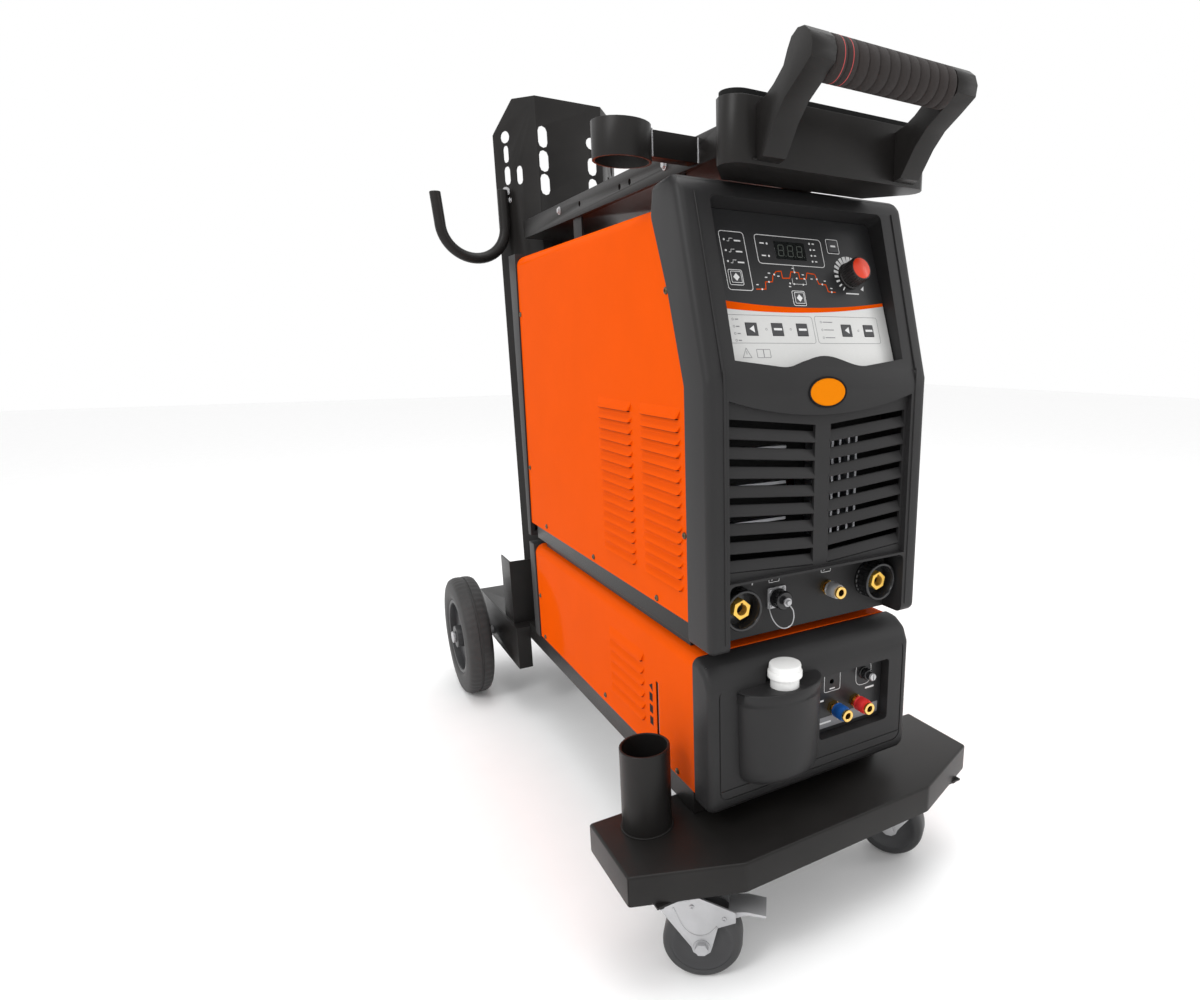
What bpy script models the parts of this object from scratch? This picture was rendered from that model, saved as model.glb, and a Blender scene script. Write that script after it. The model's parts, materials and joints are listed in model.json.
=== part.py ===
"""A TIG welding set on a trolley: power source, water cooler, wheels, gas bottle cradle and tray.

Metres, +Z up. The front faces -Y, and the origin is on the floor under the middle of the whole.
"""
import math

import bmesh
import bpy
from mathutils import Matrix, Vector

# Running and seating gap between neighbouring pieces
GAP = 0.0003
SHEET = 0.003

# Front step
STEP_TOP = 0.1790
STEP_DEPTH = 0.0390
STEP_HALF_WIDTH = 0.2770
STEP_FRONT_HALF_WIDTH = 0.1490
STEP_FRONT = -0.5676
STEP_SIDE_FRONT = -0.5166
STEP_REAR = -0.3950
RACEWAY_BOTTOM = 0.1240
ROD_TUBE_PLACE = (-0.2148, -0.4356)
ROD_TUBE_RADIUS = 0.0314
ROD_TUBE_HEIGHT = 0.1107

# Base frame and bottle platform
RAIL_TOP = 0.2140
RAIL_HALF_WIDTH = 0.1550
RAIL_WIDTH = 0.0250
RAIL_FRONT = -0.4500
PLATFORM_FRONT = 0.2700
PLATFORM_REAR = 0.5850
PLATFORM_TOP = 0.2050
PLATFORM_HALF_WIDTH = 0.1824
SKIRT_BOTTOM = 0.1150
CRADLE_HALF_WIDTH = 0.1786
CRADLE_TOP = 0.3397
CRADLE_REAR = 0.3685

# Rear column: a middle panel with a wing folded back on each side
COLUMN_FRONT = 0.3058
COLUMN_HALF_WIDTH = 0.0643
WING_EDGE = (0.1240, 0.3900)
COLUMN_TOP = 1.2225
COLUMN_CORNER = (0.0944, 1.1637)
SLOT_WIDTH = 0.0180
FOOT_GROOVE = 0.0005
FOOT_MARGIN = 0.0010

# Top rails, tray, handle
RAIL_Z = (0.9700, 1.0010)
TOP_RAIL_OUTER = 0.1008
TOP_RAIL_WIDTH = 0.0200
STRUTS_Y = (-0.3090, 0.0310)
STRUT_LENGTHS = (0.0670, 0.0370)
TRAY_FRONT = -0.5200
TRAY_REAR = -0.4400
TRAY_FRONT_HALF = 0.1365
TRAY_REAR_HALF = 0.1005
TRAY_Z = (0.9456, 1.0080)
TRAY_BACK_TOP = 1.0220
HANDLE_Y = -0.5911
HANDLE_Z = 1.0261
GRIP_RADIUS = 0.0200
GRIP_HALF_LENGTH = 0.0780
ARM_WIDTH = 0.0280
RING_PLACE = (-0.1910, -0.3797)
RING_RADIUS = 0.0327
RING_Z = (0.9640, 1.0020)

# Wheels
AXLE_RADIUS = 0.0100
WHEEL_Y = 0.4862
WHEEL_RADIUS = 0.1325
WHEEL_OUTER = 0.2650
WHEEL_INNER = 0.2090
TYRE_BORE = 0.0850
CASTOR_AT = (0.2045, -0.4901)
CASTOR_TRAIL = 0.0340
CASTOR_RADIUS = 0.0500
CASTOR_HALF_WIDTH = 0.0160
LEFT_CASTOR_HEADING = math.radians(-34.5)
RIGHT_CASTOR_HEADING = math.radians(126.5)
CASTOR_PIVOT = (0.0700, 0.0930)

# Power source
COVER_HALF_WIDTH = 0.1584
COVER_SHEET = 0.0015
COVER_CORNER = 0.0180
POWER_BOTTOM = 0.4435
POWER_TOP = 0.9216
BEZEL_HALF_WIDTH = 0.1613
BEZEL_BOTTOM = 0.4176
BEZEL_FRONT = -0.5102
BEZEL_SEAM = [(-0.4558, 0.4176), (-0.4577, 0.7238), (-0.4232, 0.8256), (-0.3877, 0.9053), (-0.3803, 0.9220)]
FITTINGS_FACE = -0.4730
FITTINGS_TOP = 0.5000
FITTINGS_HALF_WIDTH = 0.1345
FITTINGS_Z = 0.4625
DINSE_X = 0.1076
CONTROL_X = -0.0455
GAS_X = 0.0330
REAR_FACE = 0.2062
COVER_REAR = ((0.1877, POWER_BOTTOM), (0.1656, POWER_TOP))

# Control panel, in its own frame: x to the right, y up along the panel, z out of it
PANEL_ORIGIN = (0.0, -0.4967, 0.7300)
PANEL_TILT = math.radians(70.0)
PANEL_HALF_WIDTH = 0.1215
PANEL_TOP = 0.2000
PANEL_THICKNESS = 0.0040
KNOB_PLACE = (0.0755, 0.1300)
KNOB_RADIUS = 0.0165
KNOB_HEIGHT = 0.0240
KEYS = {
    "mode_key": (-0.0916, 0.1201), "point_key": (-0.0089, 0.0986), "channel_key": (0.0569, 0.1668),
    "stroke_key": (-0.0838, 0.0600), "water_key": (-0.0486, 0.0600), "start_key": (-0.0134, 0.0600),
    "function_key": (0.0534, 0.0600), "remote_key": (0.0883, 0.0600),
}
KEY_SIZE = (0.0150, 0.0145)
KEY_PROUD = 0.0010

# Cooler
COOLER_BOTTOM = 0.2160
COOLER_TOP = 0.4032
COOLER_FRONT_SEAM = -0.4622
COOLER_REAR = 0.1762
COOLER_BEZEL_HALF = 0.1600
COOLER_FACE = -0.5050
COOLER_WALL = 0.0150
BULGE_X = -0.0620
BULGE_HALF_WIDTH = 0.0600
BULGE_DEPTH = 0.0400
BULGE_Z = (0.2393, 0.3660)
NECK_Y = -0.5180
NECK_RADIUS = 0.0180
NECK_TOP = 0.3765
CAP_RADIUS = 0.0215
CONNECTOR_X = (0.0040, 0.1225)
CONNECTOR_Z = (0.2620, 0.3520)
CONNECTOR_FACE = -0.4890
COUPLER_Z = 0.2960
COUPLERS_X = {"blue": 0.0375, "red": 0.0750}
FUSE_PLACE = (0.0906, 0.3330)

# Colour, roughness and metallic value of each finish
FINISHES = {
    "orange": ((0.89, 0.13, 0.015), 0.28, 0.0),
    "black_coat": ((0.022, 0.021, 0.020), 0.45, 0.0),
    "dark_plastic": ((0.035, 0.035, 0.037), 0.55, 0.0),
    "rubber": ((0.02, 0.02, 0.02), 0.8, 0.0),
    "foam": ((0.03, 0.02, 0.018), 0.9, 0.0),
    "zinc": ((0.62, 0.62, 0.60), 0.3, 1.0),
    "brass": ((0.75, 0.52, 0.2), 0.3, 1.0),
    "panel_grey": ((0.08, 0.08, 0.085), 0.4, 0.0),
    "key_grey": ((0.10, 0.10, 0.11), 0.5, 0.0),
    "red": ((0.75, 0.06, 0.02), 0.35, 0.0),
    "blue": ((0.02, 0.12, 0.5), 0.35, 0.0),
    "white": ((0.85, 0.85, 0.83), 0.35, 0.0),
    "aluminium": ((0.6, 0.6, 0.62), 0.4, 1.0),
    "board_green": ((0.02, 0.15, 0.06), 0.5, 0.0),
    "sheet_grey": ((0.4, 0.4, 0.4), 0.4, 0.8),
}

SQUARE_TURN = math.radians(90.0)
TO_FRONT = (SQUARE_TURN, 0.0, 0.0)
TO_REAR = (-SQUARE_TURN, 0.0, 0.0)
TO_RIGHT = (0.0, SQUARE_TURN, 0.0)
TO_LEFT = (0.0, -SQUARE_TURN, 0.0)
ON_PANEL = (PANEL_TILT, 0.0, 0.0)


# ---------------------------------------------------------------- shapes

def clear_scene():
    for old in list(bpy.data.objects):
        bpy.data.objects.remove(old, do_unlink=True)


def circle(radius, sides, centre=(0.0, 0.0)):
    turn = math.tau / sides
    return [(centre[0] + radius * math.cos(i * turn), centre[1] + radius * math.sin(i * turn)) for i in range(sides)]


def arc(centre, radius, start, end, steps):
    """Points on an arc, angles in degrees."""
    angles = [math.radians(start + (end - start) * i / steps) for i in range(steps + 1)]
    return [(centre[0] + radius * math.cos(a), centre[1] + radius * math.sin(a)) for a in angles]


def stadium(centre, width, length, steps=4):
    """A slot's outline, standing upright, with round ends."""
    radius = width / 2
    rise = length / 2 - radius
    top = arc((centre[0], centre[1] + rise), radius, 0, 180, steps)
    return top + arc((centre[0], centre[1] - rise), radius, 180, 360, steps)


def rounded(half_width, low, high, radius, steps=3):
    """A rectangle's outline with round corners, symmetric about zero."""
    right, left = half_width - radius, radius - half_width
    return (arc((right, high - radius), radius, 0, 90, steps) + arc((left, high - radius), radius, 90, 180, steps)
            + arc((left, low + radius), radius, 180, 270, steps) + arc((right, low + radius), radius, 270, 360, steps))


def arch(half_width, low, high, radius, steps=4):
    """A rectangle's outline whose two upper corners are round."""
    top = (arc((half_width - radius, high - radius), radius, 0, 90, steps)
           + arc((radius - half_width, high - radius), radius, 90, 180, steps))
    return [(half_width, low)] + top + [(-half_width, low)]


def inset(outline, distance):
    """The outline moved inwards. It runs anticlockwise."""
    result = []
    count = len(outline)
    for i, here in enumerate(outline):
        before, after = Vector(outline[i - 1]), Vector(outline[(i + 1) % count])
        first = (Vector(here) - before).normalized()
        second = (after - Vector(here)).normalized()
        normal_a, normal_b = Vector((-first.y, first.x)), Vector((-second.y, second.x))
        middle = (normal_a + normal_b).normalized()
        point = Vector(here) + middle * (distance / middle.dot(normal_a))
        result.append(tuple(point))
    return result


def place_on(axis, a, b, along):
    return {"X": (along, a, b), "Y": (a, along, b), "Z": (a, b, along)}[axis]


def prism(outline, low, high, axis="Z"):
    """An outline extruded along an axis. X takes (y, z) points, Y takes (x, z) and Z takes (x, y)."""
    shape = bmesh.new()
    ends = [[shape.verts.new(place_on(axis, a, b, along)) for a, b in outline] for along in (low, high)]
    for end in ends:
        shape.faces.new(end)
    count = len(outline)
    for i in range(count):
        j = (i + 1) % count
        shape.faces.new((ends[0][i], ends[0][j], ends[1][j], ends[1][i]))
    bmesh.ops.recalc_face_normals(shape, faces=shape.faces)
    return shape


def box(x, y, z):
    return prism([(x[0], y[0]), (x[1], y[0]), (x[1], y[1]), (x[0], y[1])], z[0], z[1])


def rod(radius, low, high, axis="Z", centre=(0.0, 0.0), sides=16):
    return prism(circle(radius, sides, centre), low, high, axis)


def turned(profile, sides=24):
    """A closed (radius, height) outline turned about the local Z axis."""
    shape = bmesh.new()
    rings = []
    for radius, height in profile:
        if radius == 0.0:
            rings.append([shape.verts.new((0.0, 0.0, height))])
        else:
            rings.append([shape.verts.new((x, y, height)) for x, y in circle(radius, sides)])
    for i, ring in enumerate(rings):
        after = rings[(i + 1) % len(rings)]
        for k in range(sides):
            m = (k + 1) % sides
            corners = [ring[k % len(ring)], ring[m % len(ring)], after[m % len(after)], after[k % len(after)]]
            corners = list(dict.fromkeys(corners))
            if len(corners) > 2:
                shape.faces.new(corners)
    bmesh.ops.recalc_face_normals(shape, faces=shape.faces)
    return shape


def swept(points, radius, sides=8):
    """A round bar along a path, with flat ends."""
    shape = bmesh.new()
    path = [Vector(p) for p in points]
    side = Vector((0.0, 1.0, 0.0))
    rings = []
    for i, here in enumerate(path):
        heading = (path[min(i + 1, len(path) - 1)] - path[max(i - 1, 0)]).normalized()
        side = (side - heading * side.dot(heading)).normalized()
        across = heading.cross(side)
        rings.append([shape.verts.new(here + side * x + across * y) for x, y in circle(radius, sides)])
    for low, high in zip(rings, rings[1:]):
        for k in range(sides):
            m = (k + 1) % sides
            shape.faces.new((low[k], low[m], high[m], high[k]))
    shape.faces.new(rings[0])
    shape.faces.new(rings[-1])
    bmesh.ops.recalc_face_normals(shape, faces=shape.faces)
    return shape


def moved(shape, offset=(0.0, 0.0, 0.0), turn=0.0, axis="Z"):
    shape.transform(Matrix.Translation(offset) @ Matrix.Rotation(turn, 4, axis))
    return shape


def group(*shapes):
    """Several separate shapes in one mesh."""
    result = bmesh.new()
    scratch = bpy.data.meshes.new("scratch")
    for shape in shapes:
        shape.to_mesh(scratch)
        result.from_mesh(scratch)
        shape.free()
    bpy.data.meshes.remove(scratch)
    return result


def both_sides(make):
    return group(make(-1), make(1))


def span(side, a, b):
    """The two ends of a stretch of x on one side of the middle, in rising order."""
    return tuple(sorted((side * a, side * b)))


# ---------------------------------------------------------------- objects

def material(finish):
    found = bpy.data.materials.get(finish)
    if found:
        return found
    colour, roughness, metallic = FINISHES[finish]
    made = bpy.data.materials.new(finish)
    made.use_nodes = True
    shader = made.node_tree.nodes["Principled BSDF"]
    shader.inputs["Base Color"].default_value = (*colour, 1.0)
    shader.inputs["Roughness"].default_value = roughness
    shader.inputs["Metallic"].default_value = metallic
    return made


def new_object(name, shape, like=None):
    mesh = bpy.data.meshes.new(name)
    shape.to_mesh(mesh)
    shape.free()
    made = bpy.data.objects.new(name, mesh)
    bpy.context.scene.collection.objects.link(made)
    if like:
        made.parent, made.location, made.rotation_euler = like.parent, like.location, like.rotation_euler
    return made


def part(name, shape, finish, location=(0.0, 0.0, 0.0), rotation=(0.0, 0.0, 0.0), parent=None):
    made = new_object(name, shape)
    made.parent = parent or bpy.data.objects["welder"]
    made.location = location
    made.rotation_euler = rotation
    made.data.materials.append(material(finish))
    made.data.shade_smooth()
    made.data.set_sharp_from_angle(angle=math.radians(35.0))
    return made


def frame(name, location, heading, parent=None):
    """An empty that holds the pieces of one assembly."""
    made = bpy.data.objects.new(name, None)
    bpy.context.scene.collection.objects.link(made)
    made.parent = parent
    made.location = location
    made.rotation_euler = (0.0, 0.0, heading)
    return made


def boolean(target, shape, operation):
    """Cuts, joins or intersects the target with a hidden shape in the target's own frame."""
    tool = new_object(f"{target.name}_tool_{len(target.modifiers)}", shape, like=target)
    tool.hide_render = True
    tool.display_type = "WIRE"
    modifier = target.modifiers.new(operation.title(), "BOOLEAN")
    modifier.operation = operation
    modifier.object = tool
    modifier.solver = "EXACT"


def cut(target, *shapes):
    for shape in shapes:
        boolean(target, shape, "DIFFERENCE")


def join(target, *shapes):
    for shape in shapes:
        boolean(target, shape, "UNION")


# ---------------------------------------------------------------- trolley

def front_step():
    outline = [(-STEP_FRONT_HALF_WIDTH, STEP_FRONT), (STEP_FRONT_HALF_WIDTH, STEP_FRONT),
               (STEP_HALF_WIDTH, STEP_SIDE_FRONT), (STEP_HALF_WIDTH, STEP_REAR),
               (-STEP_HALF_WIDTH, STEP_REAR), (-STEP_HALF_WIDTH, STEP_SIDE_FRONT)]
    bottom = STEP_TOP - STEP_DEPTH
    step = part("front_step", prism(outline, bottom, STEP_TOP), "black_coat")
    cut(step, prism(inset(outline, SHEET), bottom - SHEET, STEP_TOP - SHEET))
    pad = 0.045
    x, y = CASTOR_AT
    join(step, both_sides(lambda s: box(span(s, x - pad, x + pad), (y - 0.015, y + pad), (bottom, STEP_TOP - 0.001))),
         both_sides(lambda s: box(span(s, x - pad, x + pad), (y - pad, y + pad), (bottom - SHEET, bottom + 0.001))),
         both_sides(lambda s: rod(0.0300, RACEWAY_BOTTOM, bottom, "Z", (s * x, y), 20)))


def rod_tube():
    bore = ROD_TUBE_RADIUS - SHEET
    profile = [(bore, GAP), (ROD_TUBE_RADIUS, GAP), (ROD_TUBE_RADIUS, ROD_TUBE_HEIGHT), (bore, ROD_TUBE_HEIGHT)]
    part("rod_tube", turned(profile), "black_coat", (*ROD_TUBE_PLACE, STEP_TOP))


def base_frame():
    floor = STEP_TOP + GAP
    rear = PLATFORM_FRONT - GAP
    inner = RAIL_HALF_WIDTH - RAIL_WIDTH
    outline = [(-RAIL_HALF_WIDTH, floor), (RAIL_HALF_WIDTH, floor), (RAIL_HALF_WIDTH, RAIL_TOP), (inner, RAIL_TOP),
               (inner, floor + SHEET), (-inner, floor + SHEET), (-inner, RAIL_TOP), (-RAIL_HALF_WIDTH, RAIL_TOP)]
    part("base_frame", prism(outline, RAIL_FRONT, rear, "Y"), "black_coat")


def bottle_platform():
    half, front, rear = PLATFORM_HALF_WIDTH, PLATFORM_FRONT, PLATFORM_REAR
    platform = part("bottle_platform", box((-half, half), (front, rear), (SKIRT_BOTTOM, PLATFORM_TOP)), "black_coat")
    leg = 0.0280
    low = SKIRT_BOTTOM - SHEET
    outline, _ = column_outline()
    cut(platform, prism(inset(outline, -FOOT_MARGIN), PLATFORM_TOP - FOOT_GROOVE, PLATFORM_TOP + SHEET))
    cut(platform,
        box((SHEET - half, half - SHEET), (front + SHEET, rear + SHEET), (low, PLATFORM_TOP - SHEET)),
        box((leg - half, half - leg), (front - SHEET, front + 2 * SHEET), (low, 0.1850)),
        rod(AXLE_RADIUS + GAP, -half - SHEET, half + SHEET, "X", (WHEEL_Y, WHEEL_RADIUS)))
    x, back, front_face = CRADLE_HALF_WIDTH, CRADLE_REAR, COLUMN_FRONT - SHEET - GAP
    cradle = [(-x, back), (-x, front_face), (x, front_face), (x, back),
              (x - SHEET, back), (x - SHEET, front_face + SHEET), (SHEET - x, front_face + SHEET), (SHEET - x, back)]
    join(platform, prism(cradle, PLATFORM_TOP - SHEET / 2, CRADLE_TOP))


def column_outline():
    mid, (edge_x, edge_y) = COLUMN_HALF_WIDTH, WING_EDGE
    front = [(-edge_x, edge_y), (-mid, COLUMN_FRONT), (mid, COLUMN_FRONT), (edge_x, edge_y)]
    fold = math.atan2(edge_y - COLUMN_FRONT, edge_x - mid)
    across = Vector((-math.sin(fold), math.cos(fold))) * SHEET
    inner = mid - SHEET * math.tan(fold / 2)
    back = [(edge_x + across.x, edge_y + across.y), (inner, COLUMN_FRONT + SHEET)]
    return front + back + [(-x, y) for x, y in reversed(back)], fold


def wing_slot(outline, fold, side):
    """A cutter through one wing. The outline is across the wing from its fold, and up."""
    shape = prism([(side * x, z) for x, z in outline], -0.02, 0.02, "Y")
    return moved(shape, (side * COLUMN_HALF_WIDTH, COLUMN_FRONT, 0.0), side * fold)


def back_column():
    outline, fold = column_outline()
    foot = PLATFORM_TOP - FOOT_GROOVE + GAP
    column = part("back_column", prism(outline, foot, COLUMN_TOP), "black_coat")
    edge_x, top, beyond = WING_EDGE[0], COLUMN_TOP, 0.01
    corner_x, corner_z = COLUMN_CORNER
    slope = (top - corner_z) / (edge_x - corner_x)
    far_x, high = edge_x + beyond, top + beyond
    cut(column, both_sides(lambda s: prism(
        [(s * (corner_x - beyond / slope), high), (s * far_x, high), (s * far_x, corner_z - beyond * slope)],
        COLUMN_FRONT - beyond, WING_EDGE[1] + beyond, "Y")))
    middle = [stadium((-0.0530, z), SLOT_WIDTH, 0.0380) for z in (1.0710, 1.1120, 1.1540)]
    middle += [stadium((0.0430, z), SLOT_WIDTH, 0.0330) for z in (1.0750, 1.1130)]
    middle += [circle(0.0110, 12, (0.0430, 1.1545))]
    cut(column, group(*[prism(hole, COLUMN_FRONT - 0.01, COLUMN_FRONT + 0.01, "Y") for hole in middle]))
    for side in (-1, 1):
        holes = [stadium((0.0460, 1.0900), 0.0150, 0.0340), stadium((0.0750, 1.0910), 0.0150, 0.0340),
                 stadium((0.0750, 1.1290), 0.0130, 0.0310), circle(0.0110, 12, (0.0750, 1.1590))]
        for hole in holes:
            cut(column, wing_slot(hole, fold, side))


def cable_hook():
    radius, reach, leg_x, y = 0.0100, 0.0600, -0.1200, 0.3650
    centre_x, centre_z, top, tip = leg_x - reach, 0.9955, 1.0640, 1.0490
    bend = [(x, y, z) for x, z in arc((centre_x, centre_z), reach, 0, -180, 10)]
    points = [(leg_x, y, top)] + bend + [(centre_x - reach - 0.004, y, tip)]
    part("cable_hook", swept(points, radius, 10), "black_coat")


def top_rails():
    outer, inner = TOP_RAIL_OUTER, TOP_RAIL_OUTER - TOP_RAIL_WIDTH
    low, high = RAIL_Z
    rails = part("top_rails", both_sides(lambda s: box(span(s, inner, outer), (TRAY_REAR + GAP, COLUMN_FRONT - GAP),
                                                       (low, high))), "black_coat")
    join(rails, box((-inner - 0.001, inner + 0.001), (TRAY_REAR + GAP, COLUMN_FRONT - GAP), (low, low + SHEET)))
    bar = 0.0060
    for y, length in zip(STRUTS_Y, STRUT_LENGTHS):
        ends = (y - length / 2, y + length / 2)
        join(rails, box((-inner - bar, inner + bar), ends, (low + SHEET / 2, low + 2 * bar)))
        join(rails, both_sides(lambda s: box(span(s, outer - bar - SHEET, outer - bar), ends, (POWER_TOP + GAP, low + bar))))


def tray_outline():
    radius = 0.022
    lean = math.degrees(math.atan2(TRAY_FRONT_HALF - TRAY_REAR_HALF, TRAY_REAR - TRAY_FRONT))
    centre = (TRAY_FRONT_HALF - radius, TRAY_FRONT + radius)
    right = arc(centre, radius, -90, lean, 5)
    return right + [(TRAY_REAR_HALF, TRAY_REAR), (-TRAY_REAR_HALF, TRAY_REAR)] + [(-x, y) for x, y in reversed(right)]


def top_tray():
    outline = tray_outline()
    low, high = TRAY_Z
    tray = part("top_tray", prism(outline, low, high), "black_coat")
    join(tray, box((-TRAY_REAR_HALF, TRAY_REAR_HALF), (TRAY_REAR - SHEET, TRAY_REAR), (low, TRAY_BACK_TOP)))
    cut(tray, prism(inset(outline, SHEET), low + SHEET, TRAY_BACK_TOP + SHEET))


def handle_frame():
    wall = TRAY_FRONT - GAP
    front = [(wall, 0.9490), (-0.5320, 0.9510), (-0.5410, 0.9630), (-0.5530, 0.9790), (-0.5690, 0.9940),
             (-0.5920, 1.0070)]
    crown = [(HANDLE_Y + y, HANDLE_Z + z) for y, z in arc((0.0, 0.0), 0.0201, 205, 20, 6)]
    back = [(-0.5660, 1.0215), (-0.5500, 1.0105), (-0.5350, 1.0035), (wall, 1.0000)]
    profile = front + crown + back
    inner = GRIP_HALF_LENGTH + 0.0004
    arms = both_sides(lambda s: prism(profile, *span(s, inner, inner + ARM_WIDTH), axis="X"))
    handle = part("handle_frame", arms, "black_coat")
    join(handle, rod(0.0120, -inner - 0.008, inner + 0.008, "X", (HANDLE_Y, HANDLE_Z)))


def handle_grip():
    bore, half = 0.0120 + GAP, GRIP_HALF_LENGTH
    profile = [(bore, -half), (GRIP_RADIUS, -half), (GRIP_RADIUS, half), (bore, half)]
    part("handle_grip", turned(profile), "foam", (0.0, HANDLE_Y, HANDLE_Z), TO_RIGHT)


def ring_holder():
    low, high = RING_Z
    inner = RING_RADIUS - SHEET
    x, y = RING_PLACE
    profile = [(inner, low), (RING_RADIUS, low), (RING_RADIUS, high), (inner, high)]
    ring = part("ring_holder", turned(profile), "black_coat", (x, y, 0.0))
    start, end = RING_RADIUS - 0.0015, -TOP_RAIL_OUTER - GAP - x
    join(ring, box((start, end), (-0.010, 0.010), (0.9715, 0.9990)))


# ---------------------------------------------------------------- wheels

def rear_axle():
    tip, inner_end, nut_end = 0.2680, 0.1950, 0.2720
    axle = part("rear_axle", rod(AXLE_RADIUS, -tip, tip), "zinc", (0.0, WHEEL_Y, WHEEL_RADIUS), TO_RIGHT)
    for low, high, radius in ((inner_end, WHEEL_INNER - 0.0030, 0.0150), (WHEEL_OUTER + 0.0010, nut_end, 0.0130)):
        join(axle, both_sides(lambda s: rod(radius, *span(s, low, high))))


def rear_wheels():
    for name, rotation, side in (("left", TO_LEFT, -1), ("right", TO_RIGHT, 1)):
        centre = (side * (WHEEL_OUTER + WHEEL_INNER) / 2, WHEEL_Y, WHEEL_RADIUS)
        half = (WHEEL_OUTER - WHEEL_INNER) / 2
        tread, shoulder = WHEEL_RADIUS, WHEEL_RADIUS - 0.014
        tyre = [(TYRE_BORE, -half + 0.004), (shoulder, -half), (tread - 0.003, -half + 0.012), (tread, 0.0),
                (tread - 0.003, half - 0.012), (shoulder, half), (TYRE_BORE, half - 0.004)]
        part(f"{name}_rear_tyre", turned(tyre, 40), "rubber", centre, rotation)
        rim = TYRE_BORE - GAP
        bore, boss = AXLE_RADIUS + GAP, 0.0250
        hub = [(bore, -half - 0.002), (boss, -half - 0.002), (boss, -0.010), (rim - 0.008, -0.010),
               (rim - 0.008, -0.022), (rim, -0.022), (rim, 0.022), (rim - 0.008, 0.022), (rim - 0.008, 0.010),
               (boss, 0.010), (boss, half), (bore, half)]
        part(f"{name}_rear_hub", turned(hub), "dark_plastic", centre, rotation)


def castor(side_name, side, heading):
    """One swivel castor. In its frame the wheel trails along +X, and the swivel axis is Z."""
    holder = frame(f"{side_name}_castor", (side * CASTOR_AT[0], CASTOR_AT[1], 0.0), heading,
                   bpy.data.objects["welder"])
    crown_top = RACEWAY_BOTTOM - GAP
    crown_low = crown_top - 0.0060
    fork_name = f"{side_name}_castor_fork"
    fork = part(fork_name, rod(0.0280, crown_low, crown_top, sides=20), "zinc", parent=holder)
    trail, axle_z = CASTOR_TRAIL, CASTOR_RADIUS
    pivot_x, pivot_z = CASTOR_PIVOT
    leg = ([(-0.0200, crown_low + 0.003), (-0.0200, crown_low - 0.010)] + arc((trail, axle_z), 0.0130, 180, 360, 5)
           + [(trail + 0.0200, 0.0780), (pivot_x + 0.006, pivot_z - 0.007), (pivot_x + 0.006, pivot_z + 0.007),
              (0.0300, crown_low + 0.003)])
    inner = CASTOR_HALF_WIDTH + 0.0025
    join(fork, both_sides(lambda s: prism(leg, *span(s, inner, inner + 0.0025), axis="Y")))
    bolt, head = 0.0060, inner + 0.0055
    join(fork, rod(bolt, -head, head, "Y", (trail, axle_z), 12))
    join(fork, box((-0.0195, 0.0290), (-inner - 0.0010, inner + 0.0010), (crown_low, crown_low + 0.0028)))
    bore, half = bolt + GAP, CASTOR_HALF_WIDTH
    wheel = [(bore, -half - 0.0015), (0.0140, -half - 0.0015), (0.0150, -half + 0.003), (0.0400, -half),
             (CASTOR_RADIUS - 0.004, -half), (CASTOR_RADIUS, -half + 0.006), (CASTOR_RADIUS, half - 0.006),
             (CASTOR_RADIUS - 0.004, half), (0.0400, half), (0.0150, half - 0.003), (0.0140, half + 0.0015),
             (bore, half + 0.0015)]
    part(f"{side_name}_castor_wheel", turned(wheel, 32), "rubber", (trail, 0.0, axle_z), TO_FRONT, holder)
    pedal = [(-0.0040, -0.0020), (0.0050, -0.0040), (0.0200, 0.0010), (0.0420, -0.0030), (0.0430, 0.0000),
             (0.0200, 0.0050), (-0.0030, 0.0045)]
    width = CASTOR_HALF_WIDTH + 0.0005
    brake = part(f"{side_name}_castor_brake", prism(pedal, -width, width, "Y"), "zinc", (pivot_x, 0.0, pivot_z),
                 parent=holder)
    join(brake, rod(0.0020, GAP - inner, inner - GAP, "Y", sides=8))


# ---------------------------------------------------------------- power source

def power_chassis():
    floor, wall_top, wall, half = 0.4180, 0.4600, 0.0020, 0.1550
    front, rear = -0.4500, 0.1650
    chassis = part("power_chassis", box((-half, half), (front, rear), (floor, wall_top)), "black_coat")
    cut(chassis, box((wall - half, half - wall), (front + wall, rear - wall), (floor + SHEET, wall_top + wall)))
    runner = (0.1150, 0.1450)
    join(chassis, both_sides(lambda s: box(span(s, *runner), (front + 0.02, rear - 0.02), (COOLER_TOP + GAP, floor + 0.001))))


def cover_outline(bottom, top):
    outer = arch(COVER_HALF_WIDTH, bottom, top, COVER_CORNER)
    inner = arch(COVER_HALF_WIDTH - COVER_SHEET, bottom, top - COVER_SHEET, COVER_CORNER - COVER_SHEET)
    return outer + list(reversed(inner))


def power_cover():
    cover = part("power_cover", prism(cover_outline(POWER_BOTTOM, POWER_TOP), -0.47, 0.19, "Y"), "orange")
    seam = [(y + GAP, z) for y, z in BEZEL_SEAM[1:]]
    (rear_low, low), (rear_high, high) = COVER_REAR
    side = ([(BEZEL_SEAM[0][0] + GAP, POWER_BOTTOM - 0.01)] + seam + [(seam[-1][0], POWER_TOP + 0.01)]
            + [(rear_high, POWER_TOP + 0.01), (rear_high, high), (rear_low, low), (rear_low, POWER_BOTTOM - 0.01)])
    boolean(cover, prism(side, -0.2, 0.2, "X"), "INTERSECT")


def panel_bottom(x):
    """The panel's lower edge: low at each side, lowest a little further in, and arched in the middle."""
    dip, dip_x, crown, side = 0.0118, 0.0590, 0.0245, 0.0198
    if abs(x) < dip_x:
        return dip + (crown - dip) * (1 + math.cos(math.pi * x / dip_x)) / 2
    return dip + (side - dip) * (abs(x) - dip_x) / (PANEL_HALF_WIDTH - dip_x)


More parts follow.
